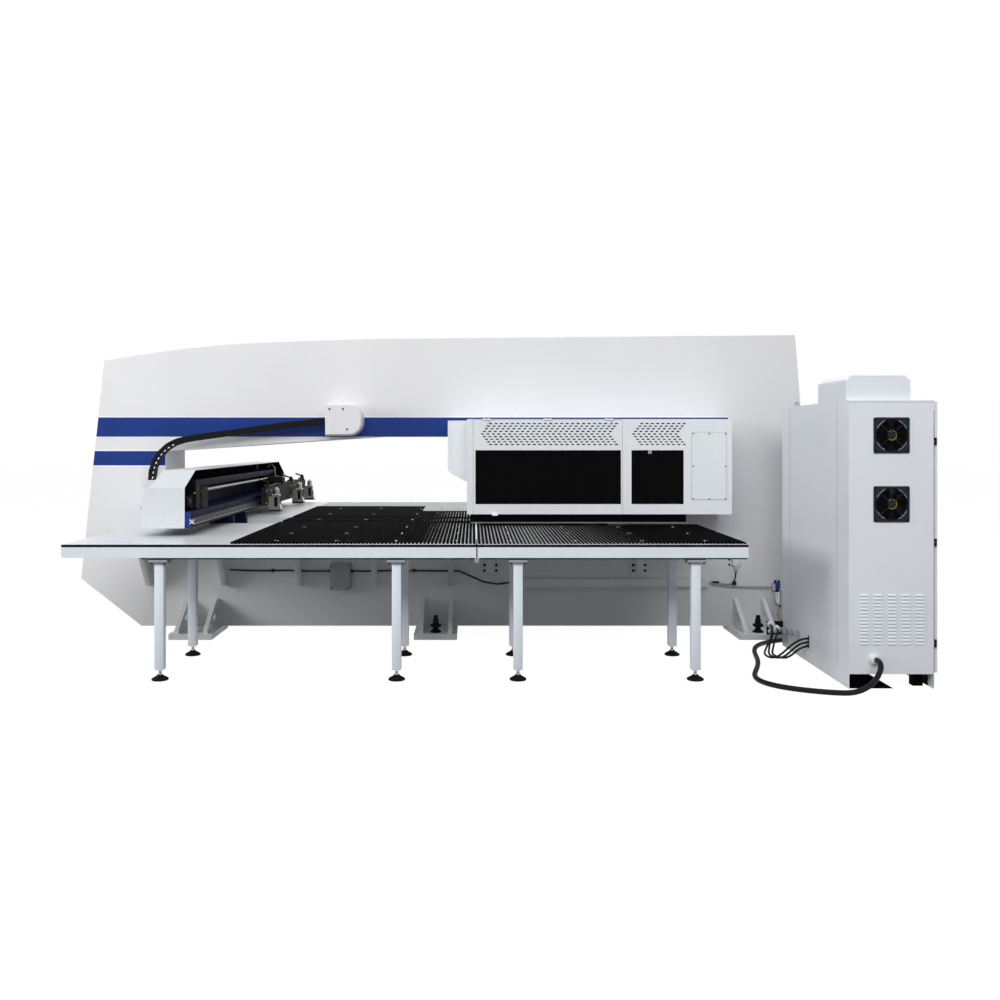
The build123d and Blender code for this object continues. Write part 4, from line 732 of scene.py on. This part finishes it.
guard_left, guard_right, guard_low, guard_top = -47, 2020, 986, 1729
sheet_back = front_sheet[1]
guard_ys, shell_zs = (sheet_back, -frame_half), (guard_top - sheet, guard_top)
window_zs = (1065, 1486)
hinge_y, hinge_z, knuckle, knuckle_radius = -708, 1724, 20, 7
door_left, door_right, door_top, lip = 2, 1165, 1723, 3
door_xs, side_xs = (19, 1154), (1236, 1643)
door = Shape("guard_door_sheet", GUARD_PAINT, body="front_door_of_guard", replaces=("guard_door",))
shell = Shape("guard_shell_sheets", GUARD_PAINT, replaces=("guard_shell",))
door_zs = (guard_low, door_top)
windowed(door, (door_left, door_right), door_zs, door_xs, door_xs, window_zs, (125, 42.7, 24))
for lip_zs in ((guard_low, guard_low + lip), (door_top - lip, door_top)):
    door.box((door_left, door_right), (sheet_back, -684), lip_zs)
for hinge_x in (105, 583, 1061):
    leaf = about(hinge_x, knuckle / 2 - 0.3)
    door.rod("X", (leaf[0], hinge_y, hinge_z), knuckle_radius, leaf[1] - leaf[0], 20)
    door.box(leaf, (hinge_y, front_sheet[0]), (hinge_z - 45, hinge_z - 2))
    for start in (hinge_x - 1.5 * knuckle, hinge_x + knuckle / 2):
        shell.rod("X", (start, hinge_y, hinge_z), knuckle_radius, knuckle, 20)
        shell.box((start, start + knuckle), (hinge_y, -655), (guard_top, guard_top + 4))
door.prism("X", ((-700, 976), (-700, 1000), (-706, 1000), (-718, 976)), 148.5, 193.5, 1.5)
shell.box((guard_left, 0), front_sheet, (guard_low, guard_top))
shell.box((0, 1167), front_sheet, shell_zs)
shell_xs, fixed_zs = (1167, guard_right), (guard_low, guard_top)
windowed(shell, shell_xs, fixed_zs, (1215, 1690), side_xs, window_zs, (1305, 41.3, 9))
shell.box((guard_left, guard_right), guard_ys, shell_zs)
for wall in ((guard_left, guard_left + sheet), (guard_right - sheet, guard_right)):
    shell.box(wall, guard_ys, (guard_low, guard_top - sheet))

# Painted shade: a black sheet inside the guard's foot, in front of the turret, for the shade under the
# guard, with a bright lower edge
guard_shade = Shape("guard_painted_shade", BLACK_RUBBER, "black_plastic")
guard_shade.box((-43, 2016), (-680, -552), (988, 990))
guard_shade.box((-20, 1692), (-556, -552), (906, 988))
Shape("skirt_edge", ZINC).box((-20, 1692), (-557.5, -556), (907, 914))

# Rubber seals round the panes, the seams and screws of the panels, and the door's switch
seal_width = 5
seal_ys = (-699, sheet_back)
for (left, right), body in ((door_xs, "front_door_of_guard"), (side_xs, "frame")):
    low, high = window_zs
    seal = Shape(f"pane_seal_{left}", BLACK_RUBBER, "black_plastic", body=body)
    seal.box((left, right), seal_ys, (low, low + seal_width))
    seal.box((left, right), seal_ys, (high - seal_width, high))
    for xs in ((left, left + seal_width), (right - seal_width, right)):
        seal.box(xs, seal_ys, (low + seal_width, high - seal_width))
panel_columns, panel_rows = (1716, 1843, 1970), (1105.6, 1360, 1614.7)
panel_places = [(x, -703, z) for x in panel_columns for z in panel_rows]
del panel_places[4]
Shape("access_screws", DARK_STEEL).bolts("Y", panel_places, 6, 3)
panel_xs, panel_ys, panel_zs = edges("access_panel")
seam_ys = (panel_ys[0] - 0.4, panel_ys[0])
seam = Shape("panel_seam", SHADE_AND_SEAM_GREY, "grey_plastic")
for x in panel_xs:
    seam.box(about(x, 1), seam_ys, panel_zs)
for z in panel_zs:
    seam.box(panel_xs, seam_ys, about(z, 1))
rear_xs, rear_ys, rear_zs = edges("rear_guard")
rear_places = [
    (rear_xs[0] + (rear_xs[1] - rear_xs[0]) * share, rear_ys[1] - 0.5, z)
    for share in (0.03, 0.35, 0.67, 0.97)
    for z in (rear_zs[0] + 40, (rear_zs[0] + rear_zs[1]) / 2, rear_zs[1] - 40)
]
Shape("rear_guard_screws", DARK_STEEL).bolts("Y", rear_places, 7, 4, 1)
Shape("door_switch", GREY_PLASTIC).box((1366, 1394), (-699.5, sheet_back), (1459, 1486), 1)

# Crossbeam cover: painted shade on its inside, a black sheet along the beam, and at each end up to the
# slope's fold
near_end, far_end = -1500, 2380
end_inset, slope_run, wall_run = 3.4, 291, 293
shade_right, shade_left, shade_low, eaves = -2031, -2331, 945, 1222
wall_left = shade_left - 0.4
inner = [(-2031, 1341.4), (-2256.2, 1341.4), (-2280.8, 1225.4), (wall_left, 1170.6), (wall_left, 945)]
deeper = [(-2031, 1340.4), (-2255.4, 1340.4), (-2279.8, 1225), (-2330.4, 1170.2), (-2330.4, 945)]
low_face = [
    (wall_left, shade_low), (wall_left, 1170.6), (-2285, eaves),
    (shade_right, eaves), (shade_right, shade_low),
]
cover_shade = on_beam("cover_painted_shade", DEEP_SHADE, "black_plastic")
cover_shade.prism("Y", inner + deeper[::-1], near_end + 296, far_end - 296)
for end, inward in ((near_end, 1), (far_end, -1)):
    face = end + inward * end_inset
    fold, wall_end = face + inward * slope_run, face + inward * wall_run
    cover_shade.prism("Y", low_face, *sorted((face, face + inward)))
    cover_shade.quad(
        (shade_right, face, eaves), (-2285, face, eaves),
        (-2258, fold, 1341), (shade_right, fold, 1341),
    )
    cover_shade.quad(
        (shade_left, face, shade_low), (shade_left, face, 1170),
        (shade_left, wall_end, 1170), (shade_left, wall_end, shade_low),
    )
    cover_shade.quad(
        (shade_left, face, 1170), (-2282, face, 1224),
        (-2282, wall_end, 1224), (shade_left, wall_end, 1170),
    )

# Crossbeam: drive casing, guide strip, screws, rail end, blue parts and the lead at its far end
casing_and_shade = on_beam("drive_casing_and_shade", BLACK_PAINT, "black_steel")
casing_and_shade.box((-2108, -2010), (-1114, -926), (1056, 1216), 4)
casing_and_shade.box((-2102, -2016), (2248, 2344), (1056, 1216), 4)
casing_and_shade.rod("Y", (-2060, -1122, 1184), 30, 10, 24, 1)
casing_and_shade.box((-2092, -2016), (-1252, -1118), (1058, 1268), 4)
casing_and_shade.box((-2108, -2034), (-1330, -1252), (1062, 1170), 6)
casing_and_shade.rod("Y", (-2066, -1420, 1120), 42, 90, 24, 3)
casing_and_shade.rod("X", (-2343, -1480, 1085), 12, 8, 16, 2)
# Painted shade: a black sheet on top of the girder's flange, in the shade under the cover
casing_and_shade.box((-2268, -2097), (-1372, 2250), (1262, 1264))
on_beam("guide_strip", BEAM_BLUE, "black_steel").box((-2123, -2119), (-1376, 2256), (1211, 1237), 1)
on_beam("grease_point", AMBER_PLASTIC, "zinc").bolts("Y", [(-2026, -1252, 1179)], 7, 5)
rail_face, rail_middle, rail_half = -1964, 988, 19
beam_screws = on_beam("beam_screws", RAIL_STEEL, "ground_steel")
beam_screws.bolts("Y", [(-2030, -1252, z) for z in (1090, 1118)], 7, 5)
beam_screws.bolts("X", [(-2016, -1135, z) for z in (1100, 1192)], 7, 5, 1)
rail_places = [(rail_face, -1420 + number * 150, rail_middle) for number in range(26)]
beam_screws.bolts("X", rail_places, 6, 3, 1)
cover_screws = on_beam("cover_screws", WHITE_PLASTIC, "white_paint")
cover_screws.bolts("Y", [(x, near_end, 1001) for x in (-2192, -2080)], 11, 5)
on_beam("rail_edge", GROUND_STEEL).box((rail_face, rail_face + 0.3), (near_end + 9, far_end - 9), (970, 974))
rail_end = on_beam("rail_end", WHITE_PLASTIC, "white_paint")
for tilt in (-1, 1):
    arms = (
        (-1996, rail_middle - tilt * rail_half), (-1996, rail_middle - tilt * 10),
        (rail_face, rail_middle + tilt * rail_half), (rail_face, rail_middle + tilt * 10),
    )
    rail_end.prism("Y", arms, near_end + 4, near_end + 8.5)
on_beam("beam_blue_parts", BLUE_PAINT).box((-2300, -1990), (near_end + 7.5, near_end + 16), (944, 1058), 2)
lead_path = (
    (-2122, 1960, 1288), (-2106, 1960, 1312), (-2076, 1966, 1316), (-2054, 1976, 1285),
    (-2050, 1990, 1210), (-2030, 2010, 1160), (-2008, 2030, 1140),
)
on_beam("beam_lead", WHITE_PLASTIC, "grey_plastic").tube(lead_path, 7, 12)

# Clamp carriage: on each clamp its cheek, painted shade in its recesses, cylinder, cap and screws, and a
# hose along the bar
clamp_middles = (930, 2230, 2940)
cheek_left, cheek_right, cheek_zs = -1903, -1796, (922, 1050)
cylinder_x = -1836
cheeks = on_carriage("clamp_cheeks", CLAMP_STEEL, "dark_steel")
recess_shades = on_carriage("clamp_recess_shades", BLACK_PAINT, "black_steel")
cylinders = on_carriage("clamp_cylinders", GROUND_STEEL)
cylinder_caps = on_carriage("clamp_caps", CHROME, "chromed")
carriage_screws = on_carriage("carriage_screws", ZINC)
for middle in clamp_middles:
    near = middle - 64
    cheeks.box((cheek_left, cheek_right), (near, near + 6), cheek_zs, 2)
    cheeks.box((-1812, cheek_right), (near - 5, near), cheek_zs, 1.5)
    cheeks.box((cheek_left, -1848), (near - 3, near), (940, 985), 1.5)
    recess_shades.box((-1846, -1818), about(near, 1), (950, 1040))
    recess_shades.box((-1962, -1908), (middle - 46, middle + 40), (1126, 1150), 4)
    cylinders.rod("Z", (cylinder_x, middle - 18, 1050), 27, 66, 24, 4)
    cylinders.box((-1872, -1800), (middle - 52, middle + 16), (1050, 1062), 3)
    cylinder_caps.rod("Z", (cylinder_x, middle - 18, 1116), 13, 12, 16, 2)
    cylinder_caps.rod("Y", (cylinder_x, middle - 62, 1092), 8, 20, 12, 1)
    cheek_places = [(-1890, near - 3, 950), (-1890, near - 3, 975), (-1882, near, 1020)]
    carriage_screws.bolts("Y", cheek_places, 7, 5)
    bar_places = [(-1905, middle + step, z) for step in (-150, 85) for z in (985, 1095)]
    carriage_screws.bolts("X", bar_places, 8, 5, 1)
hose_path = [
    (-1928 + 5 * math.sin(number * 1.7), 820 + number * 90, 1137 + 5 * math.cos(number * 1.1))
    for number in range(24)
]
on_carriage("clamp_hoses", CABLE_RUBBER).tube(hose_path, 9, 10)
on_carriage("end_stop", RED_PLASTIC, "grey_plastic").box((-1803, -1793), (2862, 2874), (930, 984), 2)
grip = ((-1936, 1167), (-1936, 1181), (-1985, 1198), (-2001, 1202), (-2001, 1187), (-1982, 1180))
for number, middle in enumerate(clamp_middles, 1):
    name, node, body = f"lever_grip_{number}", f"lock_lever_{number}", f"lever_{number}"
    lever = Shape(name, BLACK_PLASTIC, body=body, replaces=(node,))
    lever.rod("Z", (-1928, middle, 1165.3), 18, 15, 24, 2)
    lever.turned("Z", (-1928, middle, 1181.2), ((0, 0), (9, 0), (9, 3), (5, 5), (0, 5)), 16)
    lever.prism("Y", grip, *about(middle, 8), 2.5, 2)

# Wiring and junction box on the frame's face, under the table
frame_face = -frame_half
left_run = (
    (-1990, -303, 505), (-1800, -304, 498), (-1500, -303, 500), (-1300, -304, 494), (-1170, -318, 497),
)
right_run = (
    (-986, -318, 497), (-900, -303, 493), (-640, -304, 499), (-300, -303, 496), (-110, -304, 495),
    (-20, -303, 455), (80, -303, 408), (200, -303, 388), (330, -303, 405),
)
wiring = Shape("wiring_run", CABLE_RUBBER)
for run in (left_run, right_run):
    wiring.tube(run, 6.5, 10)
clips = Shape("wiring_glands", BLACK_PLASTIC)
for x, z in ((-1640, 499), (-480, 498), (330, 405)):
    clips.box(about(x, 9), (-314, frame_face), about(z, 13), 3)
for x, side in ((-1160, -1), (-996, 1)):
    gland = ((14, 0), (14, side * 8), (12, side * 9), (12, side * 18), (9, side * 20), (0, side * 20))
    clips.turned("X", (x, -318, 497), gland, 16)
Shape("junction_lid", GREY_PLASTIC).box((-1156, -1000), (-382, -378), (356, 559), 2)
ledges = Shape("ledge_blocks", FRAME_PAINT)
face_screws = Shape("face_screws", BLACK_PAINT, "black_steel")
face_screws.bolts("Y", [(x, -382, z) for x in (-1146, -1010) for z in (368, 547)], 6, 2)
for x in (144, 1360):
    ledges.box(about(x, 31), (-334, -311), (476, 600), 3)
    face_screws.bolts("Y", [(x + step, -312, z) for step in (-51, 45) for z in (500, 545)], 11, 12)

# Air supply on the frame's face: valve, elbow and thin hoses
valve = Shape("air_valve", WHITE_PLASTIC, "grey_plastic")
valve.box((2118, 2178), (-330, frame_face), (540, 600), 3)
elbow = ((0, 0), (20, 0), (20, -14), (12, -26), (9, -40), (0, -40))
valve.turned("Z", (2150, -312, 540), elbow, 20)
air_dark = Shape("air_caps", BLACK_PLASTIC)
air_blue = Shape("regulator_body", BLUE_PLASTIC, replaces=("air_unit",))
air_hose = Shape("air_hoses", GREY_PLASTIC)
air_dark.tube(((2150, -312, 502), (2142, -312, 440), (2134, -312, 412)), 5, 8)
air_dark.turned("Z", (2134, -312, 385), ((0, 0), (18, 0), (20, 14), (10, 30), (0, 30)), 16)
air_dark.rod("X", (1950, -312, 404), 9, 60, 12, 2)
air_dark.bolts("Y", [(2096, -302, z) for z in (548, 592)], 9, 12)
air_blue.rod("Z", (2134, -312, 408), 9, 10, 14, 2)
upper_hose = ((1934, -310, 404), (2000, -312, 398), (2070, -312, 386), (2118, -312, 392))
lower_hose = (
    (1940, -316, 398), (2030, -318, 380), (2150, -320, 370), (2300, -322, 366),
    (2400, -326, 366), (2440, -330, 367),
)
for path in (upper_hose, lower_hose):
    air_hose.tube(path, 6, 8)

# Filter and regulator: body, knobs, ports, bowl, gauge line and the drain hose
air_x, air_y, gauge_x = 2478, -335, 2502
air_blue.box(about(air_x, 18), (-364, frame_face), (352, 404), 4, 2)
air_blue.rod("Z", (gauge_x, -330, 208), 10, 16, 16, 2)
for knob_x in (air_x - 14, air_x + 14):
    air_dark.rod("Z", (knob_x, air_y, 404), 10, 20, 20, 3)
air_dark.rod("Z", (air_x - 2, air_y, 330), 15, 22, 24, 3)
ports = Shape("regulator_ports", ZINC, "grey_plastic")
for near, far in ((-40, -18), (18, 32)):
    ports.box((air_x + near, air_x + far), (-358, frame_face), (346, 398), 5, 2)
bowl = ((0, 0), (9, 0), (18, 7), (20, 18), (20, 82), (22, 84), (22, 94), (0, 94))
air_clear = Shape("regulator_bowl", ZINC, "ground_steel")
air_clear.turned("Z", (air_x - 2, air_y, 236), bowl, 24)
air_clear.tube(((air_x + 6, -330, 238), (air_x + 20, -330, 230), (gauge_x, -330, 222)), 4, 8)
drain_path = (
    (2502, -330, 209), (2486, -334, 192), (2476, -338, 168),
    (2480, -344, 140), (2496, -352, 116), (2514, -358, 96),
)
Shape("drain_hose", AMBER_HOSE, "grey_plastic").tube(drain_path, 5, 8)

# Frame trims: lifting ring and its boss, seam bracket under the table's joint
trims = Shape("frame_trims", GREY_PLASTIC)
trims.ring("Y", (2650, -293, 1860), 15, 3, 24, 8)
trims.rod("Y", (2650, -293, 1876), 7, 3, 12)
trims.prism("X", ((-2060, 800), (-2100, 800), (-2098, 770), (-2080, 772)), 10, 40, 1)

# Cabinet: louvres with painted shade in the slits under their hoods, seams, ribs of the top box, and painted
# shade under the cabinet
cab_left, cab_front = 2360, -2296
louvre_columns, louvre_rows, louvre_first, louvre_pitch = (2455, 2543, 2630, 2717, 2803), 15, 280, 21.8
hood = ((0, 9), (-5, 6), (-8, 1), (-8, -2), (-6, -1), (0, 5))
louvres = Shape("louvre_hoods", CABINET_PAINT)
# Each slit under a hood gets a grey sheet as its painted shade
louvre_shade = Shape("louvre_painted_shade", SHADE_AND_SEAM_GREY, "grey_plastic")
for column in louvre_columns:
    for row in range(louvre_rows):
        z = louvre_first + row * louvre_pitch
        outline = [(cab_front + out, z + up) for out, up in hood]
        louvres.prism("X", outline, *about(column, 25.5))
        louvre_shade.box(about(column, 24), (cab_front - 0.6, cab_front), (z - 3, z + 4))
line_ys = (cab_front - 0.4, cab_front)
slits = Shape("cabinet_slits", DARK_STEEL)
for y in (-2082, -1073):
    slits.box((cab_left - 0.5, cab_left), about(y, 1), (100, 1806))
slits.box((cab_left, 2896), line_ys, (1800, 1801.5))
slits.box((2893.5, 2896.5), line_ys, (100, 1749))
rib_first, rib_pitch, rib_high = 1826, 12.5, 6
ribs = Shape("top_box_ribs", CABINET_PAINT)
for number in range(10):
    z = rib_first + number * rib_pitch
    ribs.box((cab_left - 1.6, cab_left), (-2232, -1722), (z, z + rib_high), 0.5)
foot_width, foot_low, foot_high = 63, 0.4, 91.5
# Painted shade under the cabinet: black sheets on the floor and inside the right side, and black feet
cabinet_shade = Shape("cabinet_painted_shade", DEEP_SHADE, "black_plastic")
cabinet_shade.box((2366, 2640), (-2288, -1860), (foot_low, 3))
cabinet_shade.box((2889, 2893), (-2210, -884), (3, foot_high))
for x in (2398.5, 2795.5):
    for y in (-2217.5, -1021.5):
        cabinet_shade.box((x, x + foot_width), (y, y + foot_width), (foot_low, foot_high))

# Fans: a grille of rings and spokes, the bright lip in the corners, and the hub with its ring
fan_x, fan_zs, fan_front = 2627, (1592, 1160), -2304
guard_rings, spoke_turns, lip_turns = (34, 46, 58, 70, 82, 94), (45, 90, 225, 270), (45, 135, 225, 315)
dash_turns = (-80, -55, -30, -5, 20, 45, 70, 95, 120, 240, 265)
grille_y, lip_y, lip_radius, hub_radius = fan_front - 3, fan_front - 1, 101, 30


def round_fan(fan_z, y, radius, turn):
    """A point at this radius and turn, in degrees, about a fan's axis."""
    angle = math.radians(turn)
    return fan_x + radius * math.cos(angle), y, fan_z + radius * math.sin(angle)


guards = Shape("fan_guards", BLACK_PLASTIC, "black_steel")
rims = Shape("fan_rims", GREY_PLASTIC)
hub_rings = Shape("fan_hub_rings", YELLOW_PLASTIC, "zinc")
hubs = Shape("fan_hub_discs", FAN_PAINT, "grey_plastic")
for fan_z in fan_zs:
    for radius in guard_rings:
        guards.ring("Y", (fan_x, grille_y, fan_z), radius, 1.3, 48, 6)
    for turn in spoke_turns:
        guards.tube([round_fan(fan_z, grille_y, radius, turn) for radius in (18, 60, 103)], 2.4, 6)
    corners = [(fan_x + i * 100, fan_front, fan_z + j * 100) for i in (-1, 1) for j in (-1, 1)]
    guards.bolts("Y", corners, 6, 4)
    for turn in lip_turns:
        arc = [round_fan(fan_z, lip_y, lip_radius, turn + step * 5) for step in range(-4, 5)]
        rims.tube(arc, 2.2, 6)
    for turn in dash_turns:
        arc = [round_fan(fan_z, lip_y, hub_radius, turn + step * 4) for step in (-2, 0, 2)]
        hub_rings.tube(arc, 3.2, 6)
    hubs.rod("Y", (fan_x, fan_front - 2, fan_z), 24, 2, 24)

# Cable ends: gland nuts, the plugs on the cabinet's side, and the connector bank with its caps
nut_profile = (
    (0, 0), (35, 0), (35, -6), (31, -8), (31, -14), (35, -14), (35, -26), (30, -32),
    (25, -39), (19, -40), (0, -40),
)
nuts = Shape("gland_nuts", WHITE_PLASTIC, "white_paint", replaces=("cable_glands",))
for place in ((2521, cab_front, 188), (2560, frame_face, 150)):
    nuts.turned("Y", place, nut_profile, 24)
plug_flange, plug_reach, plug_inset = cab_left - 10, cab_left - 34, 6
plugs = Shape("side_plugs", GREY_PLASTIC, replaces=("side_connectors",))
for y, half, low, high in ((-982, 42, 100, 156), (-1128, 34, 126, 168), (-1278, 26, 136, 180)):
    body_ys, body_zs = (y - half + plug_inset, y + half - plug_inset), (low + plug_inset, high - plug_inset)
    plugs.box((plug_reach, plug_flange), body_ys, body_zs, 4, 2)
    plugs.box((plug_flange, cab_left), about(y, half), (low, high), 2)
# The connector plate is black as painted shade at the frame's lower end
Shape("connector_plate_shade", BLACK_PAINT, "black_steel").box((2237, cab_left), (-899, -885), (84, 186), 2)
connector_caps = Shape("connector_caps", WHITE_PLASTIC, "white_paint")
for x, z, size in ((2266, 162, 30), (2306, 128, 31), (2262, 112, 18)):
    cap = ((0, 0), (size, 0), (size, -9), (size - 3, -11), (size - 3, -20), (size * 0.6, -30), (0, -30))
    connector_caps.turned("Y", (x, -900, z), cap, 24)

# Cabinet doors: black sleeves on the hinges, half of each fixed, and the turning handles
hinge_zs, sleeve_length, sleeve_radius, sleeve_x = (285, 919, 1555), 23, 9.6, 2907
fixed_sleeves = Shape("hinge_sleeves", BLACK_PAINT, "black_steel")
for body, y in (("cabinet_front_door", -2287), ("cabinet_rear_door", -889)):
    sleeves = Shape(body + "_sleeves", BLACK_PAINT, "black_steel", body=body)
    for z in hinge_zs:
        for shape, low in ((fixed_sleeves, z - sleeve_length), (sleeves, z + 0.4)):
            shape.rod("Z", (sleeve_x, y, low), sleeve_radius, sleeve_length - 0.4, 20, 1)
for end, y in (("front", -1633), ("rear", -1543)):
    node, body = f"door_handle_{end}", f"{end}_door_handle"
    handle = Shape(node + "_grip", BLACK_PLASTIC, body=body, replaces=(node,))
    handle.rod("X", (2925.3, y, 980), 16, 20, 24, 2)
    handle.prism("X", ((y - 13, 984), (y + 13, 984), (y + 10, 850), (y - 10, 850)), 2946, 2966.5, 4, 2)

# Every piece is finished, and the chain's run from the frame to the crossbeam
for shape in Shape.begun:
    made = shape.finish()
    if shape in (chain, chain_marks, chain_leads):
        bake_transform(made)


# Floor and world: white where the camera or a gloss sees them, and dimmer as light
def seen_rays(tree):
    """1 for a ray from the camera or off a gloss, and 0 for any other."""
    path = tree.nodes.new("ShaderNodeLightPath")
    either = tree.nodes.new("ShaderNodeMath")
    either.operation = "MAXIMUM"
    tree.links.new(path.outputs["Is Camera Ray"], either.inputs[0])
    tree.links.new(path.outputs["Is Glossy Ray"], either.inputs[1])
    return either.outputs[0]


floor_mesh = bpy.data.meshes.new("floor")
floor_mesh.from_pydata([(-40, -30, 0), (40, -30, 0), (40, 60, 0), (-40, 60, 0)], [], [(0, 1, 2, 3)])
floor = in_scene("floor", floor_mesh)
floor_look = Nodes("floor", 0.0)
floor_look.shader.inputs["Base Color"].default_value = (0.2, 0.2, 0.2, 1)
floor_look.shader.inputs["Roughness"].default_value = 0.9
lit = floor_look.node("Emission", Strength=1.95)
share = floor_look.node("Math")
share.operation = "MULTIPLY"
share.inputs[1].default_value = 0.5
mixed = floor_look.node("MixShader")
floor_look.link(seen_rays(floor_look.tree), share.inputs[0])
floor_look.link(share.outputs[0], mixed.inputs[0])
floor_look.link(floor_look.shader.outputs[0], mixed.inputs[1])
floor_look.link(lit.outputs[0], mixed.inputs[2])
floor_look.link(mixed.outputs[0], floor_look.tree.nodes["Material Output"].inputs["Surface"])
floor_mesh.materials.append(floor_look.material)

world = bpy.data.worlds.new("studio")
world.use_nodes = True
sky = world.node_tree.nodes["Background"]
sky.inputs["Color"].default_value = (1, 1, 1, 1)
level = world.node_tree.nodes.new("ShaderNodeMapRange")
level.inputs["To Min"].default_value = 0.18
level.inputs["To Max"].default_value = 1.0
world.node_tree.links.new(seen_rays(world.node_tree), level.inputs["Value"])
world.node_tree.links.new(level.outputs["Result"], sky.inputs["Strength"])
bpy.context.scene.world = world


# Lights: large soft lamps that no gloss shows
def soft_light(name, place, target, size, power):
    data = bpy.data.lights.new(name, "AREA")
    data.shape = "RECTANGLE"
    data.size, data.size_y = size
    data.energy = power
    made = in_scene(name, data)
    made.location = place
    made.rotation_euler = (Vector(target) - Vector(place)).to_track_quat("-Z", "Y").to_euler()
    made.visible_glossy = False


soft_light("key", (0.6, -9.5, 5.4), (0.6, 0, 0.8), (9, 3), 525)
soft_light("side", (-9, -4.5, 3.2), (1.5, -1, 1), (4, 3), 370)
soft_light("back", (-1, 9.5, 6), (0, 0, 1), (8, 4), 420)
soft_light("top", (0, -2, 8), (0, 0, 1), (8, 5), 210)
bpy.context.scene.view_settings.view_transform = "Standard"
